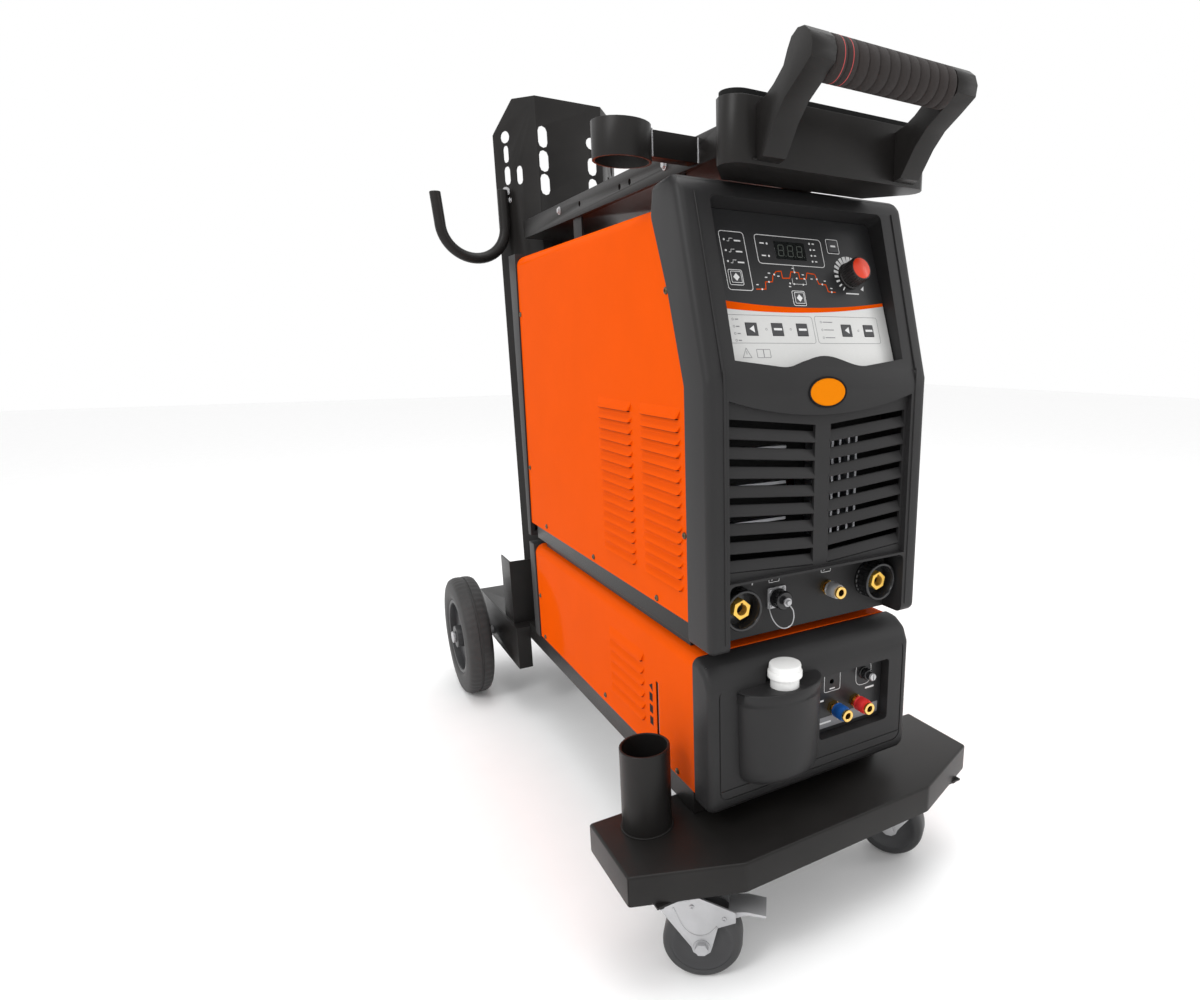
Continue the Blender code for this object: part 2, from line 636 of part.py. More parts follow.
def panel_outline(grow=0.0):
    half, steps, radius = PANEL_HALF_WIDTH + grow, 16, 0.0070
    lower = [(x, panel_bottom(x) - grow) for x in (-half + 2 * half * i / steps for i in range(steps + 1))]
    top = PANEL_TOP + grow
    return lower + arc((half - radius, top - radius), radius, 0, 90, 3) + arc((radius - half, top - radius), radius, 90, 180, 3)


def bezel_profile():
    seam = list(reversed(BEZEL_SEAM))
    return seam + [(BEZEL_FRONT, BEZEL_BOTTOM), (BEZEL_FRONT, 0.7296), (-0.4480, 0.9380), (-0.4340, 0.9485),
                   (-0.3850, 0.9440)]


def round_front_edges(shape, half_width, seam_points, radius):
    """Rounds the two side outlines of a prism, except along its rear seam."""
    def on_seam(vertex):
        return any(abs(vertex.co.y - y) + abs(vertex.co.z - z) < 1e-5 for y, z in seam_points)
    edges = [edge for edge in shape.edges
             if all(abs(abs(v.co.x) - half_width) < 1e-6 for v in edge.verts)
             and not all(on_seam(v) for v in edge.verts)]
    bmesh.ops.bevel(shape, geom=edges, offset=radius, segments=3, profile=0.5, affect="EDGES")
    return shape


def louvre_slots():
    rows, pitch, low, height = 8, 0.0215, 0.5115, 0.0110
    slots = []
    for row in range(rows):
        z = low + row * pitch
        for side in (-1, 1):
            slots.append(box(span(side, 0.0120, 0.1280), (BEZEL_FRONT - 0.002, BEZEL_FRONT + 0.008), (z, z + height)))
    return group(*slots)


def in_panel_frame(shape):
    shape.transform(Matrix.Translation(PANEL_ORIGIN) @ Matrix.Rotation(PANEL_TILT, 4, "X"))
    return shape


def power_bezel():
    shape = prism(bezel_profile(), -BEZEL_HALF_WIDTH, BEZEL_HALF_WIDTH, "X")
    round_front_edges(shape, BEZEL_HALF_WIDTH, BEZEL_SEAM, 0.0100)
    bezel = part("power_bezel", shape, "dark_plastic")
    wall, far = 0.0050, -0.30
    inside = [(far, BEZEL_BOTTOM + wall), (FITTINGS_FACE + wall, BEZEL_BOTTOM + wall),
              (FITTINGS_FACE + wall, FITTINGS_TOP + wall), (BEZEL_FRONT + wall, FITTINGS_TOP + wall),
              (BEZEL_FRONT + wall, 0.7220), (-0.4880, 0.7330), (-0.4230, 0.9120), (-0.4100, 0.9380), (far, 0.9380)]
    half = BEZEL_HALF_WIDTH - 0.0060
    cut(bezel, prism(inside, -half, half, "X"),
        box((-FITTINGS_HALF_WIDTH, FITTINGS_HALF_WIDTH), (BEZEL_FRONT - 0.02, FITTINGS_FACE), (0.40, FITTINGS_TOP)),
        in_panel_frame(prism(panel_outline(0.0008), -PANEL_THICKNESS - GAP, 0.04)), louvre_slots())


def control_panel():
    panel = part("control_panel", prism(panel_outline(), -PANEL_THICKNESS, 0.0), "panel_grey", PANEL_ORIGIN, ON_PANEL)
    play = 0.0004
    half_x, half_y = KEY_SIZE[0] / 2 + play, KEY_SIZE[1] / 2 + play
    holes = [box((x - half_x, x + half_x), (y - half_y, y + half_y), (-0.01, 0.01)) for x, y in KEYS.values()]
    cut(panel, group(*holes, rod(0.0035, -0.01, 0.01, "Z", KNOB_PLACE, 12)))


def on_panel(x, y):
    turn = Matrix.Rotation(PANEL_TILT, 3, "X")
    return Vector(PANEL_ORIGIN) + turn @ Vector((x, y, 0.0))


def panel_controls():
    half_x, half_y = KEY_SIZE[0] / 2, KEY_SIZE[1] / 2
    for name, (x, y) in KEYS.items():
        key = box((-half_x, half_x), (-half_y, half_y), (-PANEL_THICKNESS + 0.0010, KEY_PROUD))
        part(name, key, "key_grey", on_panel(x, y), ON_PANEL)
    radius, height, lift = KNOB_RADIUS, KNOB_HEIGHT, 0.0008
    profile = [(0.0, -0.0035), (0.0030, -0.0035), (0.0030, lift), (radius, lift), (radius - 0.0010, height - 0.003),
               (radius - 0.0030, height), (0.0, height)]
    part("adjust_knob", turned(profile), "dark_plastic", on_panel(*KNOB_PLACE), ON_PANEL)


def dinse_sockets():
    profile = [(0.0, 0.0), (0.0255, 0.0), (0.0255, 0.0250), (0.0215, 0.0250), (0.0215, 0.0060), (0.0115, 0.0060),
               (0.0115, 0.0175), (0.0065, 0.0175), (0.0065, 0.0090), (0.0, 0.0090)]
    for name, side in (("left", -1), ("right", 1)):
        place = (side * DINSE_X, FITTINGS_FACE - GAP, FITTINGS_Z)
        part(f"{name}_dinse_socket", turned(profile), "dark_plastic", place, TO_FRONT)


def control_socket():
    half, thick = 0.0135, 0.0025
    socket = part("control_socket", box((-half, half), (-half, half), (GAP, thick)), "zinc",
                  (CONTROL_X, FITTINGS_FACE, FITTINGS_Z), TO_FRONT)
    join(socket, rod(0.0105, thick - 0.001, 0.0115))
    corner = 0.0100
    bolts = [rod(0.0024, thick - 0.001, thick + 0.0018, "Z", (x, y), 6)
             for x in (-corner, corner) for y in (-corner, corner)]
    join(socket, group(*bolts))
    tether = [(-0.0120, -0.0090, 0.0020), (-0.0135, -0.0150, 0.0060), (-0.0125, -0.0240, 0.0110),
              (-0.0080, -0.0320, 0.0160), (-0.0010, -0.0350, 0.0210), (0.0060, -0.0310, 0.0250),
              (0.0090, -0.0220, 0.0265), (0.0080, -0.0120, 0.0262), (0.0030, -0.0038, 0.0259)]
    join(socket, swept(tether, 0.0008, 6))
    ring = [(0.0028, 0.0250), (0.0055, 0.0250), (0.0055, 0.0268), (0.0028, 0.0268)]
    join(socket, turned(ring, 12))


def dust_cap():
    outer, bore, stud = 0.0125, 0.0105 + GAP, 0.0022
    profile = [(0.0, 0.0120), (bore, 0.0120), (bore, 0.0055), (outer, 0.0055), (outer, 0.0190), (0.0110, 0.0205),
               (stud, 0.0205), (stud, 0.0272), (0.0034, 0.0276), (0.0034, 0.0300), (0.0, 0.0305)]
    part("dust_cap", turned(profile), "rubber", (CONTROL_X, FITTINGS_FACE, FITTINGS_Z), TO_FRONT)


def coupler_stem():
    profile = [(0.0, 0.0), (0.0090, 0.0), (0.0090, 0.0055), (0.0052, 0.0060), (0.0052, 0.0285), (0.0082, 0.0290),
               (0.0082, 0.0335), (0.0043, 0.0335), (0.0043, 0.0240), (0.0, 0.0240)]
    return turned(profile, 12)


def couplers():
    """The gas outlet's body, and the two water couplers, which share a block behind their panel."""
    part("gas_outlet", coupler_stem(), "brass", (GAS_X, FITTINGS_FACE - GAP, FITTINGS_Z), TO_FRONT)
    x, other = COUPLERS_X.values()
    back = -0.0020 - 2 * GAP
    block = box((-0.0125, other - x + 0.0125), (-0.0110, 0.0110), (back - 0.0120, back))
    made = part("water_couplers", block, "brass", (x, CONNECTOR_FACE - GAP, COUPLER_Z), TO_FRONT)
    for across in (0.0, other - x):
        join(made, moved(coupler_stem(), (across, 0.0, 0.0)), rod(0.0050, back - 0.0010, 0.0010, "Z", (across, 0.0), 12))


def coupler_sleeves():
    bore = 0.0052 + GAP
    profile = [(bore, 0.0095), (0.0092, 0.0095), (0.0100, 0.0120), (0.0100, 0.0250), (0.0090, 0.0283), (bore, 0.0283)]
    places = {f"{name}_sleeve": (name, (x, CONNECTOR_FACE - GAP, COUPLER_Z)) for name, x in COUPLERS_X.items()}
    places["gas_outlet_sleeve"] = ("zinc", (GAS_X, FITTINGS_FACE - GAP, FITTINGS_Z))
    for name, (finish, place) in places.items():
        part(name, turned(profile, 18), finish, place, TO_FRONT)


def fan_opening(radius, hub, bridge, low, high):
    """Four sectors of a ring, which leave a hub and four bridges."""
    sectors = []
    for quarter in range(4):
        start = 90 * quarter
        lean, tip = math.degrees(bridge / hub), math.degrees(bridge / radius)
        outline = (arc((0.0, 0.0), radius, start + tip, start + 90 - tip, 5)
                   + arc((0.0, 0.0), hub, start + 90 - lean, start + lean, 3))
        sectors.append(prism(outline, low, high))
    return group(*sectors)


def rear_panel(name, profile, half_width, pocket, fan_z, fan_radius):
    """A moulded rear frame with a wall and a fan opening. The pocket is its inside, as y and z spans."""
    made = part(name, prism(profile, -half_width, half_width, "X"), "dark_plastic")
    (y_low, y_high), z = pocket
    opening = fan_opening(fan_radius, 0.0180, 0.0020, -0.02, 0.04)
    opening.transform(Matrix.Translation((0.0, y_high, fan_z)) @ Matrix.Rotation(-SQUARE_TURN, 4, "X"))
    cut(made, box((0.0080 - half_width, half_width - 0.0080), (y_low, y_high), z), opening)


def rear_panels():
    (rear_low, low), (rear_high, high) = COVER_REAR
    lean = (rear_high - rear_low) / (high - low)
    bottom, top, wall = BEZEL_BOTTOM, 0.9245, 0.0045
    profile = [(rear_low + lean * (bottom - low) + GAP, bottom), (REAR_FACE, bottom), (REAR_FACE, top),
               (rear_low + lean * (top - low) + GAP, top)]
    rear_panel("power_rear_panel", profile, 0.1610, ((0.10, REAR_FACE - wall), (0.4260, 0.9140)), 0.6200, 0.0620)
    bottom, top = RAIL_TOP + 0.0005, COOLER_TOP
    profile = [(COOLER_REAR + GAP, bottom), (REAR_FACE, bottom), (REAR_FACE, top), (COOLER_REAR + GAP, top)]
    rear_panel("cooler_rear_panel", profile, 0.1610, ((0.10, REAR_FACE - wall), (0.2240, 0.3930)), 0.3080, 0.0620)


def fan(name, y, z):
    """A bladed rotor that turns about Y, with its motor stub in the middle."""
    rotor = part(name, rod(0.0200, -0.010, 0.010, sides=20), "dark_plastic", (0.0, y, z), TO_REAR)
    blades = 7
    pitch = math.radians(35.0)
    shapes = []
    for k in range(blades):
        blade = box((0.0150, 0.0560), (-0.0100, 0.0100), (-0.0010, 0.0010))
        blade.transform(Matrix.Rotation(k * math.tau / blades, 4, "Z") @ Matrix.Rotation(pitch, 4, "X"))
        shapes.append(blade)
    join(rotor, group(*shapes))


def mains_switch():
    handle = part("mains_switch", rod(0.0180, GAP, 0.0060, sides=20), "red", (0.0850, REAR_FACE, 0.8600), TO_REAR)
    join(handle, box((-0.0050, 0.0050), (-0.0170, 0.0170), (0.0050, 0.0180)))


def cable_gland():
    profile = [(0.0, 0.0), (0.0170, 0.0), (0.0170, 0.0080), (0.0135, 0.0085), (0.0135, 0.0200), (0.0095, 0.0260),
               (0.0070, 0.0260), (0.0070, 0.0100), (0.0, 0.0100)]
    part("cable_gland", turned(profile, 12), "dark_plastic", (-0.0950, REAR_FACE + GAP, 0.5000), TO_REAR)


def inverter_module():
    """A finned heatsink on the chassis floor, the circuit board on it, and two transformers on the board."""
    base_z, board_z = 0.4180 + SHEET + GAP, 0.5200
    half, fins, pitch = 0.0900, 9, 0.0200
    outline = [(-half, base_z), (half, base_z)]
    for k in range(fins):
        x = half - k * pitch
        outline += [(x, board_z), (x - 0.0060, board_z), (x - 0.0060, base_z + 0.008), (x - pitch, base_z + 0.008)]
    outline[-1] = (-half, base_z + 0.008)
    module = part("inverter_module", prism(outline, -0.3000, 0.0600, "Y"), "aluminium")
    join(module, box((-0.1200, 0.1200), (-0.4000, 0.1000), (board_z - 0.0005, board_z + 0.0020)),
         *[box((-0.0700, 0.0700), (y, y + 0.0900), (board_z + 0.0010, board_z + 0.0700)) for y in (-0.300, -0.120)])


# ---------------------------------------------------------------- cooler

def cooler_chassis():
    floor, wall_top, wall, half = RAIL_TOP + GAP, 0.2400, 0.0020, 0.1550
    front, rear = -0.4500, 0.1650
    chassis = part("cooler_chassis", box((-half, half), (front, rear), (floor, wall_top)), "black_coat")
    cut(chassis, box((wall - half, half - wall), (front + wall, rear - wall), (floor + wall, wall_top + wall)))


def cooler_cover():
    outline = cover_outline(COOLER_BOTTOM, COOLER_TOP)
    part("cooler_cover", prism(outline, COOLER_FRONT_SEAM + GAP, COOLER_REAR, "Y"), "orange")


def bulge_outline(grow=0.0, steps=10):
    points = arc((0.0, 0.0), 1.0, 180, 360, steps)
    half, depth = BULGE_HALF_WIDTH + grow, BULGE_DEPTH + grow
    root = COOLER_FACE + 0.002
    return [(BULGE_X + x * half, root + y * depth) for x, y in points]


def cooler_bezel():
    seam, bottom = COOLER_FRONT_SEAM, 0.2035
    rear = [(seam, 0.4020), (seam, bottom)]
    profile = rear + [(-0.4950, bottom), (COOLER_FACE, 0.2150), (COOLER_FACE, 0.3700), (-0.4960, 0.3900), (-0.4780, 0.4010)]
    shape = prism(profile, -COOLER_BEZEL_HALF, COOLER_BEZEL_HALF, "X")
    round_front_edges(shape, COOLER_BEZEL_HALF, rear, 0.0100)
    bezel = part("cooler_bezel", shape, "dark_plastic")
    join(bezel, prism(bulge_outline(), *BULGE_Z))
    inner, half = COOLER_FACE + COOLER_WALL, COOLER_BEZEL_HALF - 0.0060
    duct, play = 0.0120, 0.0005
    cut(bezel,
        prism([(-0.40, 0.2095), (inner, 0.2095), (inner, 0.3850), (-0.4850, 0.3960), (-0.40, 0.3960)], -half, half, "X"),
        box(CONNECTOR_X, (-0.52, -0.48), CONNECTOR_Z),
        rod(NECK_RADIUS + play, 0.3100, 0.3800, "Z", (BULGE_X, NECK_Y), 24),
        rod(CAP_RADIUS + 0.0020, BULGE_Z[1] + 0.0005, 0.4100, "Z", (BULGE_X, NECK_Y), 24))
    cut(bezel, box((BULGE_X - duct - play, BULGE_X + duct + play), (NECK_Y, -0.48), (0.3100, 0.3300)))


def coolant_tank():
    """The tank behind the front moulding, with a duct to the upright filler neck."""
    tank = part("coolant_tank", box((-0.1450, -0.0050), (-0.4880, -0.3000), (0.2403, 0.3500)), "white")
    duct = 0.0120
    join(tank, box((BULGE_X - duct, BULGE_X + duct), (NECK_Y, -0.4870), (0.3105, 0.3295)))
    profile = [(0.0, 0.3105), (NECK_RADIUS, 0.3105), (NECK_RADIUS, NECK_TOP), (0.0150, NECK_TOP), (0.0150, 0.3310),
               (0.0, 0.3310)]
    join(tank, moved(turned(profile), (BULGE_X, NECK_Y, 0.0)))


def filler_cap():
    low, high, plug = NECK_TOP + GAP, 0.3940, 0.0146
    profile = [(0.0, low - 0.0080), (plug, low - 0.0080), (plug, low), (CAP_RADIUS, low), (CAP_RADIUS, high - 0.0020),
               (CAP_RADIUS - 0.0020, high), (0.0, high)]
    profile = [(radius, z - low) for radius, z in profile]
    part("filler_cap", turned(profile), "white", (BULGE_X, NECK_Y, low))


def connector_panel():
    margin, back = 0.0060, CONNECTOR_FACE + 0.0020
    (x_low, x_high), (z_low, z_high) = CONNECTOR_X, CONNECTOR_Z
    plate = box((x_low - margin, x_high + margin), (CONNECTOR_FACE, back), (z_low - margin, z_high + margin))
    made = part("connector_panel", plate, "panel_grey")
    near, far = CONNECTOR_FACE - 0.01, back + 0.01
    holes = [rod(0.0053, near, far, "Y", (x, COUPLER_Z), 12) for x in COUPLERS_X.values()]
    cut(made, group(*holes, rod(0.0035, near, far, "Y", (0.0355, FUSE_PLACE[1]), 12)))


def fuse_cap():
    profile = [(0.0, 0.0), (0.0085, 0.0), (0.0085, 0.0100), (0.0055, 0.0110), (0.0050, 0.0200), (0.0, 0.0210)]
    x, z = FUSE_PLACE
    cap = part("fuse_cap", turned(profile, 18), "dark_plastic", (x, CONNECTOR_FACE - GAP, z), TO_FRONT)
    cut(cap, box((-0.0010, 0.0010), (-0.0090, 0.0090), (0.0190, 0.0230)))


def pump():
    floor = RAIL_TOP + GAP + 0.0020 + GAP
    body = part("pump", box((0.0200, 0.1200), (-0.2900, -0.2100), (floor, 0.2400)), "aluminium")
    join(body, rod(0.0350, 0.0100, 0.1100, "X", (-0.2500, 0.2700), 20),
         rod(0.0280, -0.0300, 0.0150, "X", (-0.2500, 0.2700), 20))


def radiator():
    floor = RAIL_TOP + GAP + 0.0020 + GAP
    fins, pitch = 10, 0.0200
    core = part("radiator", box((-0.1100, 0.1100), (0.1100, 0.1350), (floor, 0.3850)), "aluminium")
    slots = [box((x, x + 0.0120), (0.1000, 0.1450), (floor + 0.02, 0.3700)) for x in
             (-0.0960 + k * pitch for k in range(fins))]
    cut(core, group(*slots))


def main():
    clear_scene()
    frame("welder", (0.0, 0.0, 0.0), 0.0)
    for make in (front_step, rod_tube, base_frame, bottle_platform, back_column, cable_hook, top_rails, top_tray,
                 handle_frame, handle_grip, ring_holder, rear_axle, rear_wheels):
        make()
    castor("left", -1, LEFT_CASTOR_HEADING)
    castor("right", 1, RIGHT_CASTOR_HEADING)
    for make in (power_chassis, power_cover, power_bezel, control_panel, panel_controls, dinse_sockets,
                 control_socket, dust_cap, couplers, coupler_sleeves, rear_panels, mains_switch, cable_gland,
                 inverter_module, cooler_chassis, cooler_cover, cooler_bezel, coolant_tank, filler_cap,
                 connector_panel, fuse_cap, pump, radiator):
        make()
    fan("power_fan", 0.1800, 0.6200)
    fan("cooler_fan", 0.1800, 0.3080)


main()
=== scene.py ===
import json
import math

import bmesh
import bpy
from mathutils import Matrix, Vector

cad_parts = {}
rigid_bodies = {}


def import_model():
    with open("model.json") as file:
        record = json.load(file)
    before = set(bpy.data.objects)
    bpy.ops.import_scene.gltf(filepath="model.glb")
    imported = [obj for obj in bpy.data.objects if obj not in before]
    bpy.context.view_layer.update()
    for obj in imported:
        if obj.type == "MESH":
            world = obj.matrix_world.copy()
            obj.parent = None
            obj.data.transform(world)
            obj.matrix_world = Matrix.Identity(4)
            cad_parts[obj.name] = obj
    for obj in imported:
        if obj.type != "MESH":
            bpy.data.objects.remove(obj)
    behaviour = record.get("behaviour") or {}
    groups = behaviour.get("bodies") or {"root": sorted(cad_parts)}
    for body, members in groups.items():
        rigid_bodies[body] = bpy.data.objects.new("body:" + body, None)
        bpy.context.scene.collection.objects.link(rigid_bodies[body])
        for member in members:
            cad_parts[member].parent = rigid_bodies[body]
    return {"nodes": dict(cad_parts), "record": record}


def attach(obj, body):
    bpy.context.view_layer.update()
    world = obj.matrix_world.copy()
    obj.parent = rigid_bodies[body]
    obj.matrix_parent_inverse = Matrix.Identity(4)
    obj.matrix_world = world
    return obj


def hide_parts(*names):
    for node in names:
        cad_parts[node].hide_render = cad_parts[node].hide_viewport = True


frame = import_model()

# Looks of the TIG welding set: shells, panels, trolley and wheels around the fixed frame.

# An empty start-up file's own objects go
for extra in list(bpy.data.objects):
    if extra.name in ("Cube", "Light", "Camera"):
        bpy.data.objects.remove(extra, do_unlink=True)
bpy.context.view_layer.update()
ROOT = "trolley"
WELD_DISTANCE = 0.00001
FLAT_ANGLE = math.radians(0.5)
SQUARE_TURN = math.radians(90.0)
# Turns that lay a shape's own Z along -Y, +Y, +X and -X
FRONTWARD = Matrix.Rotation(SQUARE_TURN, 4, "X")
REARWARD = Matrix.Rotation(-SQUARE_TURN, 4, "X")
RIGHTWARD = Matrix.Rotation(SQUARE_TURN, 4, "Y")
LEFTWARD = Matrix.Rotation(-SQUARE_TURN, 4, "Y")

# Control panel's frame: x to the right, y up along the panel, z out of it
PANEL_TILT = math.radians(70.0)
PANEL = Matrix.Translation((0.0, -0.4967, 0.73)) @ Matrix.Rotation(PANEL_TILT, 4, "X")
PANEL_HALF_WIDTH = 0.1215
PANEL_TOP = 0.2

PRINT = 0.00018
SILVER_PRINT = 0.0003

# Power source's front moulding
BEZEL_HALF = 0.1613
BEZEL_BOTTOM = 0.4176
BEZEL_FRONT = -0.5102
FIELD_HALF = 0.1345
FITTINGS_FACE = -0.473
FITTINGS_Z = 0.4625
LOUVRE_ROWS = 8

# Covers and the cooler's front
COVER_HALF = 0.1584
LOUVRE_ROOT = 0.1583
COOLER_HALF = 0.16
COOLER_FACE = -0.505
FILLER_X, FILLER_Y = -0.062, -0.518
PLATE_FACE = -0.489
SIGNAL = (0.0355, 0.333)
WATER_X = {"blue": 0.0375, "red": 0.075}
WATER_Z = 0.296

# Trolley
STEP_BOTTOM, STEP_TOP, SHEET = 0.14, 0.179, 0.003
CASTOR_X, CASTOR_Y = 0.2045, -0.4901
REAR_FACE = 0.2062


# ---------------------------------------------------------------- camera, light, floor

def set_camera():
    data = bpy.data.cameras.new("camera")
    data.sensor_width = 36.0
    data.lens = 22.34
    data.shift_x = -0.1252
    data.shift_y = 0.0275
    data.clip_start = 0.01
    camera = bpy.data.objects.new("camera", data)
    camera.location = (-0.5497, -1.2069, 0.7643)
    camera.rotation_euler = (math.radians(76.151), 0.0, math.radians(-32.417))
    bpy.context.scene.collection.objects.link(camera)
    bpy.context.scene.camera = camera


def area_light(name, place, size, watts, target=(0.0, -0.1, 0.6)):
    data = bpy.data.lights.new(name, "AREA")
    data.shape = "RECTANGLE"
    data.size, data.size_y = size
    data.energy = watts
    light = bpy.data.objects.new(name, data)
    light.location = place
    light.rotation_euler = (Vector(target) - Vector(place)).to_track_quat("-Z", "Y").to_euler()
    bpy.context.scene.collection.objects.link(light)


def set_light():
    world = bpy.data.worlds.new("studio")
    world.use_nodes = True
    background = world.node_tree.nodes["Background"]
    put(background, Color=(1.0, 1.0, 1.0, 1.0), Strength=1.0)
    bpy.context.scene.world = world
    area_light("key", (-2.4, -1.2, 2.6), (1.0, 1.0), 30.0)
    area_light("overhead", (0.2, -0.4, 3.4), (2.2, 2.2), 45.0)
    area_light("right", (2.6, -1.8, 1.6), (0.6, 2.0), 12.0)
    bpy.context.scene.view_settings.view_transform = "Standard"


# ---------------------------------------------------------------- materials

def put(node, **values):
    for socket, value in values.items():
        node.inputs[socket.replace("_", " ")].default_value = value


def surface(name, colour, roughness, metallic=0.0, coat=0.0, grain=1500.0, bump=0.0, mottle=0.08,
            streak=None, specular=0.5):
    """A painted, moulded or metal surface: fine bump, slightly uneven colour and roughness."""
    material = bpy.data.materials.new(name)
    material.use_nodes = True
    nodes, links = material.node_tree.nodes, material.node_tree.links
    shader = nodes["Principled BSDF"]
    put(shader, Metallic=metallic, Coat_Weight=coat, Coat_Roughness=0.06, Specular_IOR_Level=specular)
    place = nodes.new("ShaderNodeTexCoord")
    stretch = nodes.new("ShaderNodeMapping")
    put(stretch, Scale=streak or (1.0, 1.0, 1.0))
    links.new(place.outputs["Object"], stretch.inputs["Vector"])

    broad = nodes.new("ShaderNodeTexNoise")
    put(broad, Scale=300.0 if streak else 14.0, Detail=5.0)
    links.new(stretch.outputs["Vector"], broad.inputs["Vector"])
    shade = nodes.new("ShaderNodeValToRGB")
    for stop, position, change in zip(shade.color_ramp.elements, (0.3, 0.7), (1.0 - mottle, 1.0 + mottle)):
        stop.position = position
        stop.color = (*[min(1.0, c * change) for c in colour], 1.0)
    links.new(broad.outputs["Fac"], shade.inputs["Fac"])
    links.new(shade.outputs["Color"], shader.inputs["Base Color"])

    rough = nodes.new("ShaderNodeMapRange")
    put(rough, To_Min=roughness * 0.85, To_Max=min(1.0, roughness * 1.15))
    links.new(broad.outputs["Fac"], rough.inputs["Value"])
    links.new(rough.outputs["Result"], shader.inputs["Roughness"])

    if bump:
        fine = nodes.new("ShaderNodeTexNoise")
        put(fine, Scale=grain, Detail=3.0)
        links.new(stretch.outputs["Vector"], fine.inputs["Vector"])
        relief = nodes.new("ShaderNodeBump")
        put(relief, Strength=1.0, Distance=bump)
        links.new(fine.outputs["Fac"], relief.inputs["Height"])
        links.new(relief.outputs["Normal"], shader.inputs["Normal"])
    return material


# Each finish: colour, roughness, and what differs from a plain surface
FINISHES = {
    "orange_coat": ((0.7, 0.078, 0.002), 0.28, dict(coat=0.05, bump=0.00002, mottle=0.02, specular=0.0)),
    "black_coat": ((0.012, 0.011, 0.0105), 0.36, dict(grain=1400.0, bump=0.00012, mottle=0.18, specular=0.2)),
    "dark_moulding": ((0.02, 0.0195, 0.02), 0.46, dict(grain=2200.0, bump=0.0001, mottle=0.08, specular=0.22)),
    # dark_inside is painted shade in bores, louvre openings, the rod tube, the tray and behind the front louvres,
    # and the real dark colour of the step's seams, the level marks and the badge ring
    "dark_inside": ((0.006, 0.006, 0.006), 0.7, dict(mottle=0.2, specular=0.15)),
    "panel_film": ((0.022, 0.022, 0.023), 0.36, dict(grain=3000.0, bump=0.00003, mottle=0.06, specular=0.3)),
    "panel_silver": ((0.6, 0.6, 0.59), 0.33, dict(metallic=0.3, streak=(1.0, 60.0, 1.0), mottle=0.05)),
    "print_white": ((0.7, 0.7, 0.7), 0.45, dict(mottle=0.04)),
    "print_grey": ((0.2, 0.2, 0.21), 0.45, dict(mottle=0.04)),
    "print_orange": ((0.72, 0.08, 0.002), 0.4, dict(mottle=0.03, specular=0.0)),
    "badge_orange": ((0.72, 0.2, 0.004), 0.4, dict(mottle=0.03, specular=0.0)),
    "screw_brown": ((0.1, 0.075, 0.045), 0.35, dict(metallic=0.8, mottle=0.2)),
    "display_glass": ((0.006, 0.007, 0.007), 0.08, dict(coat=0.6, mottle=0.3)),
    "display_segment": ((0.05, 0.058, 0.05), 0.3, dict(mottle=0.1)),
    "key_rubber": ((0.035, 0.035, 0.038), 0.42, dict(grain=2600.0, bump=0.00004)),
    "socket_plastic": ((0.012, 0.012, 0.013), 0.22, dict(grain=900.0, bump=0.00003, mottle=0.2)),
    "zinc": ((0.44, 0.44, 0.45), 0.36, dict(metallic=0.5, grain=500.0, bump=0.00004, mottle=0.18)),
    "brass": ((0.8, 0.52, 0.16), 0.24, dict(metallic=1.0, grain=700.0, bump=0.00002, mottle=0.15)),
    "gold_insert": ((0.9, 0.55, 0.1), 0.35, dict(metallic=0.6, grain=700.0, bump=0.00003, mottle=0.12)),
    "cast_aluminium": ((0.5, 0.51, 0.53), 0.42, dict(metallic=1.0, grain=800.0, bump=0.00008)),
    "grip_foam": ((0.016, 0.0115, 0.0105), 0.85, dict(grain=1800.0, bump=0.00035, mottle=0.25)),
    "tyre_rubber": ((0.028, 0.027, 0.027), 0.62, dict(grain=900.0, bump=0.00015, mottle=0.25)),
    "castor_tread": ((0.03, 0.03, 0.031), 0.5, dict(grain=900.0, bump=0.00012, mottle=0.25)),
    "wheel_plastic": ((0.028, 0.028, 0.03), 0.45, dict(bump=0.00008)),
    "white_plastic": ((0.8, 0.8, 0.79), 0.38, dict(grain=1200.0, bump=0.00003, mottle=0.02)),
    "knob_plastic": ((0.016, 0.014, 0.014), 0.35, dict(bump=0.00003)),
    "knob_cap": ((0.72, 0.04, 0.006), 0.3, dict(mottle=0.03)),
    "blue_paint": ((0.012, 0.11, 0.42), 0.35, dict(metallic=0.3, grain=600.0, bump=0.00004)),
    "red_paint": ((0.72, 0.03, 0.03), 0.35, dict(metallic=0.3, grain=600.0, bump=0.00004)),
    "red_plastic": ((0.6, 0.02, 0.02), 0.3, dict(mottle=0.05)),
    "fan_plastic": ((0.018, 0.018, 0.018), 0.35, {}),
    "red_thread": ((0.45, 0.05, 0.05), 0.6, {}),
    "floor": ((0.95, 0.95, 0.95), 0.8, dict(mottle=0.01)),
}
MATERIALS = {name: surface(name, colour, roughness, **more)
             for name, (colour, roughness, more) in FINISHES.items()}


# ---------------------------------------------------------------- shapes

def circle(radius, sides, centre=(0.0, 0.0), start=0.0):
    turn = math.tau / sides
    angles = [start + i * turn for i in range(sides)]
    return [(centre[0] + radius * math.cos(a), centre[1] + radius * math.sin(a)) for a in angles]


def arc(centre, radius, start, end, steps):
    angles = [math.radians(start + (end - start) * i / steps) for i in range(steps + 1)]
    return [(centre[0] + radius * math.cos(a), centre[1] + radius * math.sin(a)) for a in angles]


def rounded(x, y, radius, steps=5):
    """A rectangle's outline with round corners, given its two spans."""
    (left, right), (low, high) = x, y
    return (arc((right - radius, high - radius), radius, 0, 90, steps)
            + arc((left + radius, high - radius), radius, 90, 180, steps)
            + arc((left + radius, low + radius), radius, 180, 270, steps)
            + arc((right - radius, low + radius), radius, 270, 360, steps))


